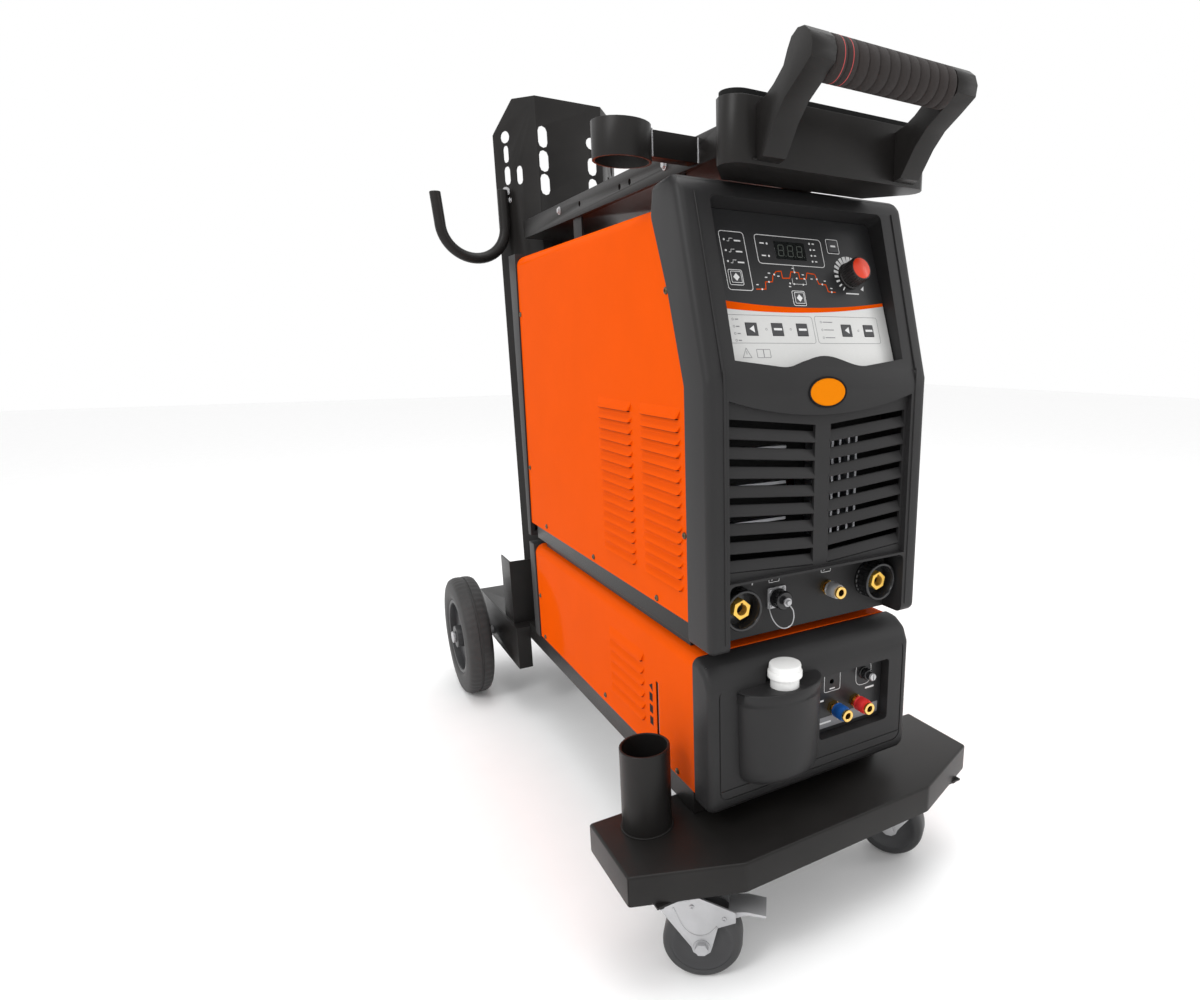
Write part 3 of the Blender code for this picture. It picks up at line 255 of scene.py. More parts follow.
def inset(outline, distance):
    """An outline that runs anticlockwise, moved inwards by a distance."""
    result = []
    count = len(outline)
    for i, here in enumerate(outline):
        first = (Vector(here) - Vector(outline[i - 1])).normalized()
        second = (Vector(outline[(i + 1) % count]) - Vector(here)).normalized()
        normal_a, normal_b = Vector((-first.y, first.x)), Vector((-second.y, second.x))
        middle = (normal_a + normal_b).normalized()
        result.append(tuple(Vector(here) + middle * (distance / middle.dot(normal_a))))
    return result


def at(x, y, z):
    return Matrix.Translation((x, y, z))


def both_ends(half_profile):
    """A turned outline from its half below the middle."""
    return half_profile + [(radius, -height) for radius, height in reversed(half_profile)]


def place_on(axis, a, b, along):
    return {"X": (along, a, b), "Y": (a, along, b), "Z": (a, b, along)}[axis]


def prism(outline, low, high, axis="Z"):
    shape = bmesh.new()
    ends = [[shape.verts.new(place_on(axis, a, b, along)) for a, b in outline] for along in (low, high)]
    for end in ends:
        shape.faces.new(end)
    count = len(outline)
    for i in range(count):
        j = (i + 1) % count
        shape.faces.new((ends[0][i], ends[0][j], ends[1][j], ends[1][i]))
    bmesh.ops.recalc_face_normals(shape, faces=shape.faces)
    return shape


def ring_prism(outer, inner, low, high, axis="Z"):
    """A frame between two outlines with the same number of points."""
    shape = bmesh.new()
    loops = [[shape.verts.new(place_on(axis, a, b, along)) for a, b in outline]
             for outline, along in ((outer, low), (outer, high), (inner, high), (inner, low))]
    count = len(outer)
    for k, loop in enumerate(loops):
        after = loops[(k + 1) % 4]
        for i in range(count):
            j = (i + 1) % count
            shape.faces.new((loop[i], loop[j], after[j], after[i]))
    bmesh.ops.recalc_face_normals(shape, faces=shape.faces)
    return shape


def box(x, y, z):
    return prism([(x[0], y[0]), (x[1], y[0]), (x[1], y[1]), (x[0], y[1])], z[0], z[1])


def slab(x, y, radius, low, high, axis="Z"):
    """A plate with round corners."""
    return prism(rounded(x, y, radius), low, high, axis)


def around(x, y, half):
    """The two spans of a square about a point."""
    return (x - half, x + half), (y - half, y + half)


def rod(radius, low, high, axis="Z", centre=(0.0, 0.0), sides=32):
    return prism(circle(radius, sides, centre), low, high, axis)


def turned(profile, sides=48, flutes=0, depth=0.0, fluted=()):
    """A closed (radius, height) outline turned about Z. Fluted profile points dip in at every other step."""
    shape = bmesh.new()
    rings = []
    for index, (radius, height) in enumerate(profile):
        if radius == 0.0:
            rings.append([shape.verts.new((0.0, 0.0, height))])
            continue
        ring = []
        for i in range(sides):
            angle = math.tau * i / sides
            reach = radius
            if flutes and index in fluted:
                reach -= depth * (0.5 + 0.5 * math.cos(angle * flutes))
            ring.append(shape.verts.new((reach * math.cos(angle), reach * math.sin(angle), height)))
        rings.append(ring)
    for i, ring in enumerate(rings):
        after = rings[(i + 1) % len(rings)]
        for k in range(sides):
            m = (k + 1) % sides
            corners = [ring[k % len(ring)], ring[m % len(ring)], after[m % len(after)], after[k % len(after)]]
            corners = list(dict.fromkeys(corners))  # a point on the axis counts once
            if len(corners) > 2:
                shape.faces.new(corners)
    bmesh.ops.recalc_face_normals(shape, faces=shape.faces)
    return shape


def swept(points, radius, sides=16, first_side=(0.0, 1.0, 0.0)):
    """A round bar along a path."""
    shape = bmesh.new()
    path = [Vector(p) for p in points]
    side = Vector(first_side)
    rings = []
    for i, here in enumerate(path):
        heading = (path[min(i + 1, len(path) - 1)] - path[max(i - 1, 0)]).normalized()
        side = (side - heading * side.dot(heading)).normalized()
        across = heading.cross(side)
        rings.append([shape.verts.new(here + side * x + across * y) for x, y in circle(radius, sides)])
    for low, high in zip(rings, rings[1:]):
        for k in range(sides):
            m = (k + 1) % sides
            shape.faces.new((low[k], low[m], high[m], high[k]))
    shape.faces.new(rings[0])
    shape.faces.new(rings[-1])
    bmesh.ops.recalc_face_normals(shape, faces=shape.faces)
    return shape


def smooth_path(points, steps=6):
    """A Catmull-Rom curve through the points."""
    path = [Vector(p) for p in points]
    ends = [path[0] * 2 - path[1]] + path + [path[-1] * 2 - path[-2]]
    result = []
    for i in range(1, len(ends) - 2):
        a, b, c, d = ends[i - 1:i + 3]
        for k in range(steps):
            t = k / steps
            result.append(0.5 * (2 * b + (c - a) * t + (2 * a - 5 * b + 4 * c - d) * t ** 2
                                 + (3 * b - a - 3 * c + d) * t ** 3))
    return result + [path[-1]]


def group(*shapes):
    """All the shapes as one, which uses them up."""
    result = bmesh.new()
    scratch = bpy.data.meshes.new("scratch")
    for shape in shapes:
        shape.to_mesh(scratch)
        result.from_mesh(scratch)
        shape.free()
    bpy.data.meshes.remove(scratch)
    return result


def moved(shape, matrix):
    if isinstance(matrix, tuple):
        matrix = Matrix.Translation(matrix)
    shape.transform(matrix)
    return shape


def span(side, a, b):
    return tuple(sorted((side * a, side * b)))


def both_sides(make):
    return group(make(-1), make(1))


# ---------------------------------------------------------------- pieces

def link(name, shape):
    mesh = bpy.data.meshes.new(name)
    shape.to_mesh(mesh)
    shape.free()
    made = bpy.data.objects.new(name, mesh)
    bpy.context.scene.collection.objects.link(made)
    return made


def carve(target, cutters, operation="DIFFERENCE"):
    """Cuts the shapes from the target, and keeps the result as its mesh."""
    tools = []
    for shape in cutters:
        tool = link("tool", shape)
        modifier = target.modifiers.new("cut", "BOOLEAN")
        modifier.operation = operation
        modifier.object = tool
        modifier.solver = "EXACT"
        tools.append(tool)
    bpy.context.view_layer.update()
    seen = target.evaluated_get(bpy.context.evaluated_depsgraph_get())
    result = bpy.data.meshes.new_from_object(seen)
    target.modifiers.clear()
    target.data = result
    for tool in tools:
        bpy.data.objects.remove(tool, do_unlink=True)
    tidy = bmesh.new()
    tidy.from_mesh(result)
    bmesh.ops.remove_doubles(tidy, verts=tidy.verts, dist=0.00002)
    bmesh.ops.dissolve_limit(tidy, angle_limit=FLAT_ANGLE, verts=tidy.verts, edges=tidy.edges)
    tidy.to_mesh(result)
    tidy.free()


def finish(made, finish_name, body=ROOT, replaces=(), bevel=0.0, segments=3, matrix=None, angle=35.0):
    """Gives a piece its place, material, edges and body, and hides the CAD nodes that it stands for."""
    made.data.materials.clear()
    made.data.materials.append(MATERIALS[finish_name])
    if matrix is not None:
        made.data.transform(matrix)
    made.data.shade_smooth()
    if bevel:
        rounder = made.modifiers.new("edges", "BEVEL")
        rounder.width = bevel
        rounder.segments = segments
        rounder.limit_method = "ANGLE"
        rounder.angle_limit = math.radians(angle)
        rounder.miter_outer = "MITER_ARC"
        rounder.harden_normals = True
    else:
        made.data.set_sharp_from_angle(angle=math.radians(angle))
    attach(made, body)
    if replaces:
        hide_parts(*replaces)
    return made


def piece(name, shape, finish_name, **how):
    return finish(link(name, shape), finish_name, **how)


def merged(node):
    """A copy of a CAD node's mesh with its flats merged."""
    shape = bmesh.new()
    shape.from_mesh(frame["nodes"][node].data)
    bmesh.ops.remove_doubles(shape, verts=shape.verts, dist=WELD_DISTANCE)
    bmesh.ops.dissolve_limit(shape, angle_limit=FLAT_ANGLE, verts=shape.verts, edges=shape.edges)
    return shape


def softened(node, finish_name, bevel, body=ROOT):
    """A CAD node's shape with its edges rounded, which stands for it."""
    shape = merged(node)
    bmesh.ops.recalc_face_normals(shape, faces=shape.faces)
    return piece(f"{node}_rounded", shape, finish_name, body=body, replaces=(node,), bevel=bevel)


def slots_of_nodes():
    return {row["node"]: row["material_slot"] for row in frame["record"]["subparts"]}


def body_of_nodes():
    bodies = frame["record"]["behaviour"]["bodies"]
    return {node: body for body, members in bodies.items() for node in members}


# ---------------------------------------------------------------- trolley

EDGE_RADII = {
    "base_frame": 0.0011, "bottle_platform": 0.0011, "back_column": 0.0007,
    "top_tray": 0.001, "handle_frame": 0.003, "ring_holder": 0.0009,
    "rear_axle": 0.0008, "power_chassis": 0.0005, "cooler_chassis": 0.0005,
    "left_castor_fork": 0.0008, "right_castor_fork": 0.0008,
    "left_castor_brake": 0.0007, "right_castor_brake": 0.0007,
    "power_rear_panel": 0.0015, "cooler_rear_panel": 0.0015,
    "coolant_tank": 0.0012, "mains_switch": 0.001, "power_fan": 0.0004, "cooler_fan": 0.0004,
    "pump": 0.001, "radiator": 0.0008, "inverter_module": 0.0005, "cable_gland": 0.0006,
}


def soften_sheet_work():
    slots, bodies = slots_of_nodes(), body_of_nodes()
    for node, bevel in EDGE_RADII.items():
        softened(node, slots[node], bevel, body=bodies[node])


def step_edges():
    """The step's folded top edge, the castors' plates under it and the seams at its corners."""
    corners = [(-0.149, -0.5676), (0.149, -0.5676), (0.277, -0.5166), (0.277, -0.395),
               (-0.277, -0.395), (-0.277, -0.5166)]
    shape = prism(corners, STEP_BOTTOM, STEP_TOP)
    edges = [edge for edge in shape.edges if not all(v.co.z < STEP_BOTTOM + 0.001 for v in edge.verts)]
    bmesh.ops.bevel(shape, geom=edges, offset=0.0034, segments=5, profile=0.5, affect="EDGES")
    step = link("front_step_shell", shape)
    carve(step, [prism(inset(corners, SHEET), STEP_BOTTOM - SHEET, STEP_TOP - SHEET)])
    finish(step, "black_coat", replaces=("front_step",), angle=40.0)
    pads = []
    pad, bolt_reach, under = 0.045, 0.037, STEP_BOTTOM - SHEET
    upside_down = Matrix.Rotation(math.pi, 4, "X")
    for side in (-1, 1):
        x, y = side * CASTOR_X, CASTOR_Y
        x_span, y_span = around(x, y, pad)
        pads += [box(x_span, y_span, (under, STEP_BOTTOM)),
                 box(x_span, (y - 0.015, y + pad), (STEP_BOTTOM, STEP_TOP - SHEET)),
                 moved(rod(0.03, 0.124, STEP_BOTTOM - 0.001, sides=48), (x, y, 0.0))]
        pads += [hex_bolt(0.005, 0.0045, at(x + a, y + b, under) @ upside_down)
                 for a in (-bolt_reach, bolt_reach) for b in (-bolt_reach, bolt_reach)]
    piece("castor_pads", group(*pads), "black_coat", bevel=0.0006)
    seams = [rod(0.0006, 0.1402, 0.176, "Z", (x * 0.9965, y + (0.0009 if y < -0.5 else -0.0009)), 8)
             for x, y in corners]
    piece("step_corner_seams", group(*seams), "dark_inside", angle=60.0)


def weld_bead(points, radius, name):
    """A rippled bead along a path. It is bare metal where its name says bright."""
    shapes = []
    path = [Vector(p) for p in points]
    for here, after in zip(path, path[1:]):
        steps = max(1, int((after - here).length / (radius * 0.9)))
        for k in range(steps):
            blob = bmesh.new()
            bmesh.ops.create_icosphere(blob, subdivisions=2, radius=radius * (1.0 + 0.12 * math.sin(k * 2.4)))
            flattened = Matrix.Diagonal((1.0, 1.0, 0.75, 1.0))
            shapes.append(moved(blob, Matrix.Translation(here.lerp(after, k / steps)) @ flattened))
    return piece(name, group(*shapes), "zinc" if "bright" in name else "black_coat", angle=80.0)


def rod_tube():
    x, y, top, high, radius = -0.2148, -0.4356, STEP_TOP, 0.1107, 0.0314
    bore = radius - SHEET
    profile = [(bore, 0.0003), (radius, 0.0003), (radius, high - 0.0008), (radius - 0.0008, high),
               (bore + 0.0006, high), (bore, high - 0.0006)]
    piece("rod_tube_pipe", turned(profile, 64), "black_coat", replaces=("rod_tube",),
          matrix=at(x, y, top))
    foot = [(x + (radius + 0.0006) * c, y + (radius + 0.0006) * s, top + 0.0008) for c, s in circle(1.0, 48)]
    weld_bead(foot + foot[:1], 0.0016, "rod_tube_weld")
    # Painted shade: a dark disc low in the tube darkens its inside
    wall = [(0.0, 0.0006), (bore - 0.0004, 0.0006), (bore - 0.0004, 0.0012), (0.0, 0.0012)]
    piece("rod_tube_shade", turned(wall, 48), "dark_inside", matrix=at(x, y, top))


def cable_hook():
    radius, reach, leg_x, y = 0.01, 0.06, -0.12, 0.365
    centre_x, centre_z, top, tip = leg_x - reach, 0.9955, 1.064, 1.049
    bend = [(x, y, z) for x, z in arc((centre_x, centre_z), reach, 0, -180, 28)]
    path = [(leg_x, y, top)] + bend + [(centre_x - reach - 0.004, y, tip)]
    piece("cable_hook_bar", swept(path, radius, 32), "black_coat", replaces=("cable_hook",), bevel=0.0018,
          angle=60.0)
    bolts = [hex_bolt(0.005, 0.0035, at(x, 0.3655, z) @ FRONTWARD)
             for x, z in ((-0.1118, 1.0628), (-0.1015, 1.0471))]
    piece("cable_hook_bolts", group(*bolts), "zinc", bevel=0.0003)


def hex_bolt(radius, high, matrix, washer=1.45):
    """A hexagon head on a washer, standing along its own Z."""
    head = prism(circle(radius, 6), 0.0008, high)
    plate = rod(radius * washer, 0.0, 0.001, sides=28)
    return moved(group(head, plate), matrix)


def screw_head(radius, high, matrix):
    """A domed head with a dip in its middle, standing along its own Z."""
    outline = [(0.0, 0.0), (1.0, 0.0), (1.0, 0.35), (0.86, 0.75), (0.55, 1.0), (0.4, 1.0), (0.3, 0.45), (0.0, 0.35)]
    return moved(turned([(radius * a, high * b) for a, b in outline], 20), matrix)


def top_rails():
    """The rails with their holes, a slot and the bolts that hold them."""
    rails = link("top_rails_drilled", merged("top_rails"))
    reach = (-0.12, 0.12)
    holes = [rod(0.0042, *reach, "X", spot, 20)
             for spot in ((0.0008, 0.9866), (-0.1594, 0.9847), (-0.1941, 0.9852))]
    slot = arc((-0.377, 0.986), 0.0045, -90, 90, 8) + arc((-0.388, 0.986), 0.0045, 90, 270, 8)
    carve(rails, [group(*holes, prism(slot, *reach, "X"))])
    finish(rails, "black_coat", replaces=("top_rails",), bevel=0.001)
    bolts = [hex_bolt(0.0045, 0.0036, at(side * 0.1008, y, z) @ turn)
             for side, turn in ((-1, LEFTWARD), (1, RIGHTWARD)) for y, z in ((0.0967, 0.99), (-0.3018, 0.9863))]
    piece("top_rail_bolts", group(*bolts), "zinc", bevel=0.0003)


def tray_details():
    """A dark wall lining and floor sheet in the tray as painted shade inside it, and the weld under each of the
    handle's arms.
    """
    radius = 0.0195
    lean = math.degrees(math.atan2(0.1365 - 0.1005, 0.08))
    right = arc((0.1335 - radius, -0.5168 + radius), radius, -90, lean, 10)
    outer = right + [(0.098, -0.4432), (-0.098, -0.4432)] + [(-x, y) for x, y in reversed(right)]
    # Painted shade: the dark wall lining and floor sheet darken the inside of the tray
    wall_shade = ring_prism(outer, inset(outer, 0.0016), 0.949, 1.014)
    piece("tray_wall_shade", wall_shade, "dark_inside", bevel=0.0005)
    piece("tray_floor_shade", prism(inset(outer, 0.0014), 0.9489, 0.9498), "dark_inside")
    for name, side in (("left", -1), ("right", 1)):
        weld_bead([(side * x, -0.5206, 0.95) for x in (0.11, 0.085)], 0.0012, f"{name}_arm_weld")


def ring_welds():
    x, y, radius = -0.191, -0.3797, 0.0327
    edge = x + math.sqrt(radius ** 2 - 0.01 ** 2) + 0.0006
    low, high = 0.972, 0.9985
    weld_bead([(edge, y - 0.0108, low), (edge, y - 0.0108, high)], 0.0013, "ring_bright_weld")
    weld_bead([(edge, y - 0.0105, 0.9995), (edge, y + 0.0105, 0.9995)], 0.0012, "ring_top_bright_weld")
    weld_bead([(-0.1014, y - 0.0106, low), (-0.1014, y - 0.0106, high)], 0.0012, "bar_bright_weld")


def handle_grip():
    half, radius, bore, chamfer = 0.078, 0.02, 0.0123, 0.002
    grooves, reach, depth = 11, 0.0011, 0.0011
    pitch = 2 * half / (grooves + 1)
    profile = [(bore, -half), (radius - chamfer, -half), (radius, -half + chamfer)]
    for k in range(grooves):
        middle = -half + (k + 1) * pitch
        profile += [(radius, middle - reach), (radius - depth, middle - 0.0004),
                    (radius - depth, middle + 0.0004), (radius, middle + reach)]
    profile += [(radius, half - chamfer), (radius - chamfer, half), (bore, half)]
    place = at(0.0, -0.5911, 1.0261) @ RIGHTWARD
    piece("handle_grip_foam", turned(profile, 48), "grip_foam", replaces=("handle_grip",), matrix=place,
          angle=60.0)
    low, high, wide = radius - 0.0006, radius + 0.0001, 0.0007
    rings = [turned([(low, z), (high, z), (high, z + wide), (low, z + wide)], 48) for z in (-0.069, -0.059)]
    piece("handle_grip_threads", group(*rings), "red_thread", matrix=place)


# ---------------------------------------------------------------- wheels

def rear_wheels():
    radius, half, hub = 0.1325, 0.028, 0.085
    ribs = 54
    tyre = both_ends([
        (hub, -half + 0.004), (0.09, -half + 0.001), (0.096, -half), (0.108, -half), (0.112, -half + 0.0014),
        (0.122, -half + 0.0016), (0.128, -half + 0.005), (radius - 0.001, -half + 0.011), (radius, -0.01),
        (radius, -0.003), (radius - 0.0022, -0.0022)])
    fluted = (7, 8, 13, 14)
    for name, side in (("left", -1), ("right", 1)):
        place = at(side * 0.237, 0.4862, radius) @ RIGHTWARD
        body = f"{name}_rear_wheel"
        piece(f"{name}_tyre_ribbed", turned(tyre, ribs * 4, ribs, 0.0018, fluted), "tyre_rubber", body=body,
              replaces=(f"{name}_rear_tyre",), matrix=place, angle=50.0)
        softened(f"{name}_rear_hub", "wheel_plastic", 0.0012, body=body)
        rim = ring_pair(hub - 0.0006, 0.0765, half - 0.0035)
        piece(f"{name}_hub_rim", rim, "wheel_plastic", body=body, matrix=place)


def ring_pair(outer, inner, out):
    """A rounded ring on each face of a wheel."""
    shapes = []
    for side in (-1, 1):
        profile = [(inner, side * (out - 0.003)), (outer, side * (out - 0.003)), (outer, side * (out - 0.001)),
                   (outer - 0.0012, side * out), (inner + 0.0016, side * out), (inner, side * (out - 0.0016))]
        shapes.append(turned(profile if side > 0 else list(reversed(profile)), 64))
    return group(*shapes)


def castors():
    bore, half, radius, trail, axle = 0.0063, 0.016, 0.05, 0.034, 0.05
    tread = both_ends([(0.0395, -half + 0.0004), (0.045, -half), (radius - 0.003, -half + 0.0006),
                       (radius - 0.0008, -half + 0.004), (radius, -half + 0.008)])
    core = both_ends([(bore, -half - 0.0015), (0.014, -half - 0.0015), (0.015, -half + 0.004),
                      (0.033, -half + 0.004), (0.036, -half + 0.0008), (0.0398, -half + 0.0008)])
    arch = [(0.0, 0.106), (0.012, 0.078), (0.027, 0.067), (0.042, 0.069), (0.053, 0.08)]
    race = [(0.018, 0.1234), (0.0296, 0.1234), (0.031, 0.1218), (0.03, 0.118), (0.028, 0.1168),
            (0.018, 0.1168)]
    for name, side, heading in (("left", -1, -34.5), ("right", 1, 126.5)):
        turn = math.radians(heading)
        hold = at(side * CASTOR_X, CASTOR_Y, 0.0) @ Matrix.Rotation(turn, 4, "Z")
        wheel_place = hold @ at(trail, 0.0, axle) @ FRONTWARD
        roller, fork = f"{name}_castor_roller", f"{name}_castor"
        piece(f"{name}_castor_tread", turned(tread, 64), "castor_tread", body=roller,
              replaces=(f"{name}_castor_wheel",), matrix=wheel_place, angle=50.0)
        piece(f"{name}_castor_core", turned(core, 56), "wheel_plastic", body=roller, matrix=wheel_place,
              angle=50.0)
        shapes = []
        for out, face in ((-1, FRONTWARD), (1, REARWARD)):
            lift = out * (half + 0.005)
            shapes.append(hex_bolt(0.0085, 0.006, hold @ at(trail, lift, axle) @ face, 1.25))
            for x, z in ((-0.015, 0.1105), (0.023, 0.108), (0.062, 0.0915)):
                shapes.append(screw_head(0.003, 0.0016, hold @ at(x, lift, z) @ face))
            bead = smooth_path([(x, lift, z) for x, z in arch], 5)
            shapes.append(moved(swept(bead, 0.0011, 8), hold))
        piece(f"{name}_castor_rivets", group(*shapes), "zinc", body=fork, angle=40.0)
        piece(f"{name}_castor_race", turned(race, 48), "zinc", body=fork, matrix=hold, angle=40.0)


# ---------------------------------------------------------------- power source

def bend_panel_bottom(x):
    """The panel's lower edge: a crown in the middle, a dip on each side of it."""
    dip, dip_x, crown, side = 0.0118, 0.059, 0.0245, 0.0198
    if abs(x) < dip_x:
        return dip + (crown - dip) * (1 + math.cos(math.pi * x / dip_x)) / 2
    return dip + (side - dip) * (abs(x) - dip_x) / (PANEL_HALF_WIDTH - dip_x)


def panel_outline(grow=0.0, steps=40, radius=0.007):
    half = PANEL_HALF_WIDTH + grow
    xs = [-half + 2 * half * i / steps for i in range(steps + 1)]
    lower = [(x, bend_panel_bottom(x) - grow) for x in xs]
    top = PANEL_TOP + grow
    return (lower + arc((half - radius, top - radius), radius, 0, 90, 6)
            + arc((radius - half, top - radius), radius, 90, 180, 6))


def smile(x):
    """The height of the louvre field's top edge."""
    return 0.69 + 0.02 * (x / FIELD_HALF) ** 2


def louvre_blade(side, row):
    """One slanted blade, which climbs a little towards the outside."""
    pitch = 0.0215
    low = 0.506 + row * pitch
    climb = 0.008 + 0.0005 * row
    section = [(-0.502, 0.0), (-0.5035, 0.0012), (-0.5036, 0.003), (-0.4975, 0.0135), (-0.495, 0.0135),
               (-0.495, 0.0105), (-0.5008, 0.0)]
    shape = prism([(y, low + z) for y, z in section], *span(side, 0.01, 0.1315), axis="X")
    for vertex in shape.verts:
        vertex.co.z += climb * (abs(vertex.co.x) - 0.0115) / 0.1185
    return shape


def round_sides(shape, half, seam):
    """Rounds the moulding's edges at both sides, but not where it meets its cover."""
    seam = {(round(y, 5), round(z, 5)) for y, z in seam}
    edges = [edge for edge in shape.edges if all(abs(abs(v.co.x) - half) < 1e-6 for v in edge.verts)
             and not all((round(v.co.y, 5), round(v.co.z, 5)) in seam for v in edge.verts)]
    bmesh.ops.bevel(shape, geom=edges, offset=0.01, segments=5, profile=0.5, affect="EDGES")


def power_bezel():
    seam = [(-0.3803, 0.922), (-0.3877, 0.9053), (-0.4232, 0.8256), (-0.4577, 0.7238), (-0.4558, 0.4176)]
    profile = seam + [(BEZEL_FRONT, BEZEL_BOTTOM), (BEZEL_FRONT, 0.7296), (-0.448, 0.938), (-0.434, 0.9485),
                      (-0.385, 0.944)]
    shape = prism(profile, -BEZEL_HALF, BEZEL_HALF, "X")
    round_sides(shape, BEZEL_HALF, seam)
    bezel = link("power_bezel_moulding", shape)
    for cutter in bezel_cutters():
        carve(bezel, [cutter])
    finish(bezel, "dark_moulding", replaces=("power_bezel",), bevel=0.0022, angle=38.0)
    blades = [louvre_blade(side, row) for side in (-1, 1) for row in range(LOUVRE_ROWS)]
    piece("front_louvres", group(*blades), "dark_moulding", bevel=0.0006)
    crease = [(-0.5104, 0.43), (-0.5104, 0.71), (-0.5074, 0.742), (-0.499, 0.77), (-0.451, 0.929)]
    lines = [swept(smooth_path([(side * 0.1405, y, z) for y, z in crease], 6), 0.0011, 10, (1.0, 0.0, 0.0))
             for side in (-1, 1)]
    piece("bezel_crease_lines", group(*lines), "dark_moulding", angle=70.0)
    badge()
    glimpses()


def bezel_cutters():
    """The hollow behind the moulding, the louvres' field and windows, the fittings' recess, the panel's."""
    far, half, wall = -0.3, BEZEL_HALF - 0.006, 0.005
    behind = FITTINGS_FACE + wall
    inside = [(far, BEZEL_BOTTOM + wall), (behind, BEZEL_BOTTOM + wall), (behind, 0.505), (-0.4985, 0.505),
              (-0.4985, 0.722), (-0.488, 0.733), (-0.423, 0.912), (-0.41, 0.938), (far, 0.938)]
    steps = 24
    field_top = [(x, smile(x)) for x in (FIELD_HALF - 2 * FIELD_HALF * i / steps for i in range(steps + 1))]
    field = [(-FIELD_HALF, 0.503), (FIELD_HALF, 0.503)] + field_top
    windows = both_sides(lambda s: prism([(s * 0.0115, 0.506), (s * 0.13, 0.514), (s * 0.13, 0.69),
                                          (s * 0.0115, 0.678)], -0.53, -0.49, "Y"))
    fittings = slab((-FIELD_HALF, FIELD_HALF), (0.38, 0.5), 0.008, -0.55, FITTINGS_FACE, "Y")
    recess = moved(prism(panel_outline(0.0008), -0.0043, 0.06), PANEL)
    return [prism(inside, -half, half, "X"), prism(field, -0.55, -0.503, "Y"), windows, fittings, recess]


def oval(half_x, half_z, steps=48):
    return [(half_x * c, half_z * s) for c, s in circle(1.0, steps)]


def badge():
    ring = ring_prism(oval(0.028, 0.018), oval(0.0258, 0.016), -0.001, 0.0016)
    plate = prism(oval(0.0258, 0.016), -0.001, 0.001)
    hold = at(0.0, BEZEL_FRONT, 0.716) @ Matrix.Rotation(math.radians(88.0), 4, "X")
    piece("badge_ring", ring, "dark_inside", matrix=hold, bevel=0.0006)
    piece("badge_plate", plate, "badge_orange", matrix=hold, bevel=0.0008)


def glimpses():
    """Heatsink edges and wiring that show between the front louvres, and a dark sheet with dark sides behind them
    as painted shade inside the machine.
    """
    shapes = [box((x, x + 0.0035), (-0.48, -0.44), (0.53, 0.66))
              for x in (0.02, 0.032, 0.044, 0.058, 0.07)]
    shapes += [box((-0.11, -0.03), (-0.47, -0.46), (z, z + 0.004)) for z in (0.56, 0.605, 0.648)]
    piece("inner_glimpses", group(*shapes), "cast_aluminium", bevel=0.0004)
    # Painted shade: a dark sheet and two dark side strips stand in for the unlit inside behind the louvres
    shade_sheet = ring_prism(rounded((-0.153, 0.153), (0.468, 0.74), 0.01),
                        rounded((-0.006, 0.006), (0.59, 0.61), 0.005), -0.438, -0.436, "Y")
    shade_sides = both_sides(lambda s: box(span(s, 0.15, 0.152), (-0.486, -0.438), (0.47, 0.73)))
    piece("inner_painted_shade", group(shade_sheet, shade_sides), "dark_inside")


def bar(start, end, width, high=PRINT, low=0.0):
    """A flat printed line between two points of the panel."""
    a, b = Vector(start), Vector(end)
    along = (b - a).normalized() * width / 2
    across = Vector((-along.y, along.x))
    points = [a - along - across, b + along - across, b + along + across, a - along + across]
    return prism([tuple(p) for p in points], low, high)


def outline_frame(x, y, radius, width, high=PRINT):
    """A printed rectangle's outline."""
    inner = rounded((x[0] + width, x[1] - width), (y[0] + width, y[1] - width), radius - width * 0.9)
    return ring_prism(rounded(x, y, radius), inner, 0.0, high)


def lamp(x, y, radius=0.0013):
    dome = [(0.0, 0.0), (radius, 0.0), (radius * 0.9, 0.0003), (radius * 0.5, 0.0005), (0.0, 0.0006)]
    return moved(turned(dome, 14), (x, y, 0.0))


def lamp_ring(x, y):
    return moved(turned([(0.0009, 0.0), (0.0014, 0.0), (0.0014, 0.00025), (0.0009, 0.00025)], 14), (x, y, 0.0))


WAVE = [(-0.0666, 0.1074), (-0.0539, 0.1079), (-0.0527, 0.1167), (-0.0429, 0.1171), (-0.0406, 0.1246),
        (-0.035, 0.13), (-0.0277, 0.1307), (-0.0276, 0.1223), (-0.0171, 0.1228), (-0.0138, 0.1308),
        (-0.0028, 0.1304), (-0.0025, 0.1229), (0.007, 0.1234), (0.0095, 0.1306), (0.0209, 0.1295),
        (0.0246, 0.1178), (0.035, 0.1172), (0.0369, 0.1085), (0.0475, 0.1083)]
KEYS = {"mode_key": (-0.0916, 0.1201), "point_key": (-0.0089, 0.0986), "channel_key": (0.0569, 0.1668),
        "stroke_key": (-0.0838, 0.06), "water_key": (-0.0486, 0.06), "start_key": (-0.0134, 0.06),
        "function_key": (0.0534, 0.06), "remote_key": (0.0883, 0.06)}
KNOB = (0.0755, 0.13)


def stripe_low(x):
    return 0.0812 + 0.0362 * x + 0.483 * x * x


def stripe_high(x):
    return 0.0872 + 0.0142 * x + 0.535 * x * x


def key_hole(x, y):
    return box((x - 0.0079, x + 0.0079), (y - 0.0077, y + 0.0077), (-0.01, 0.01))


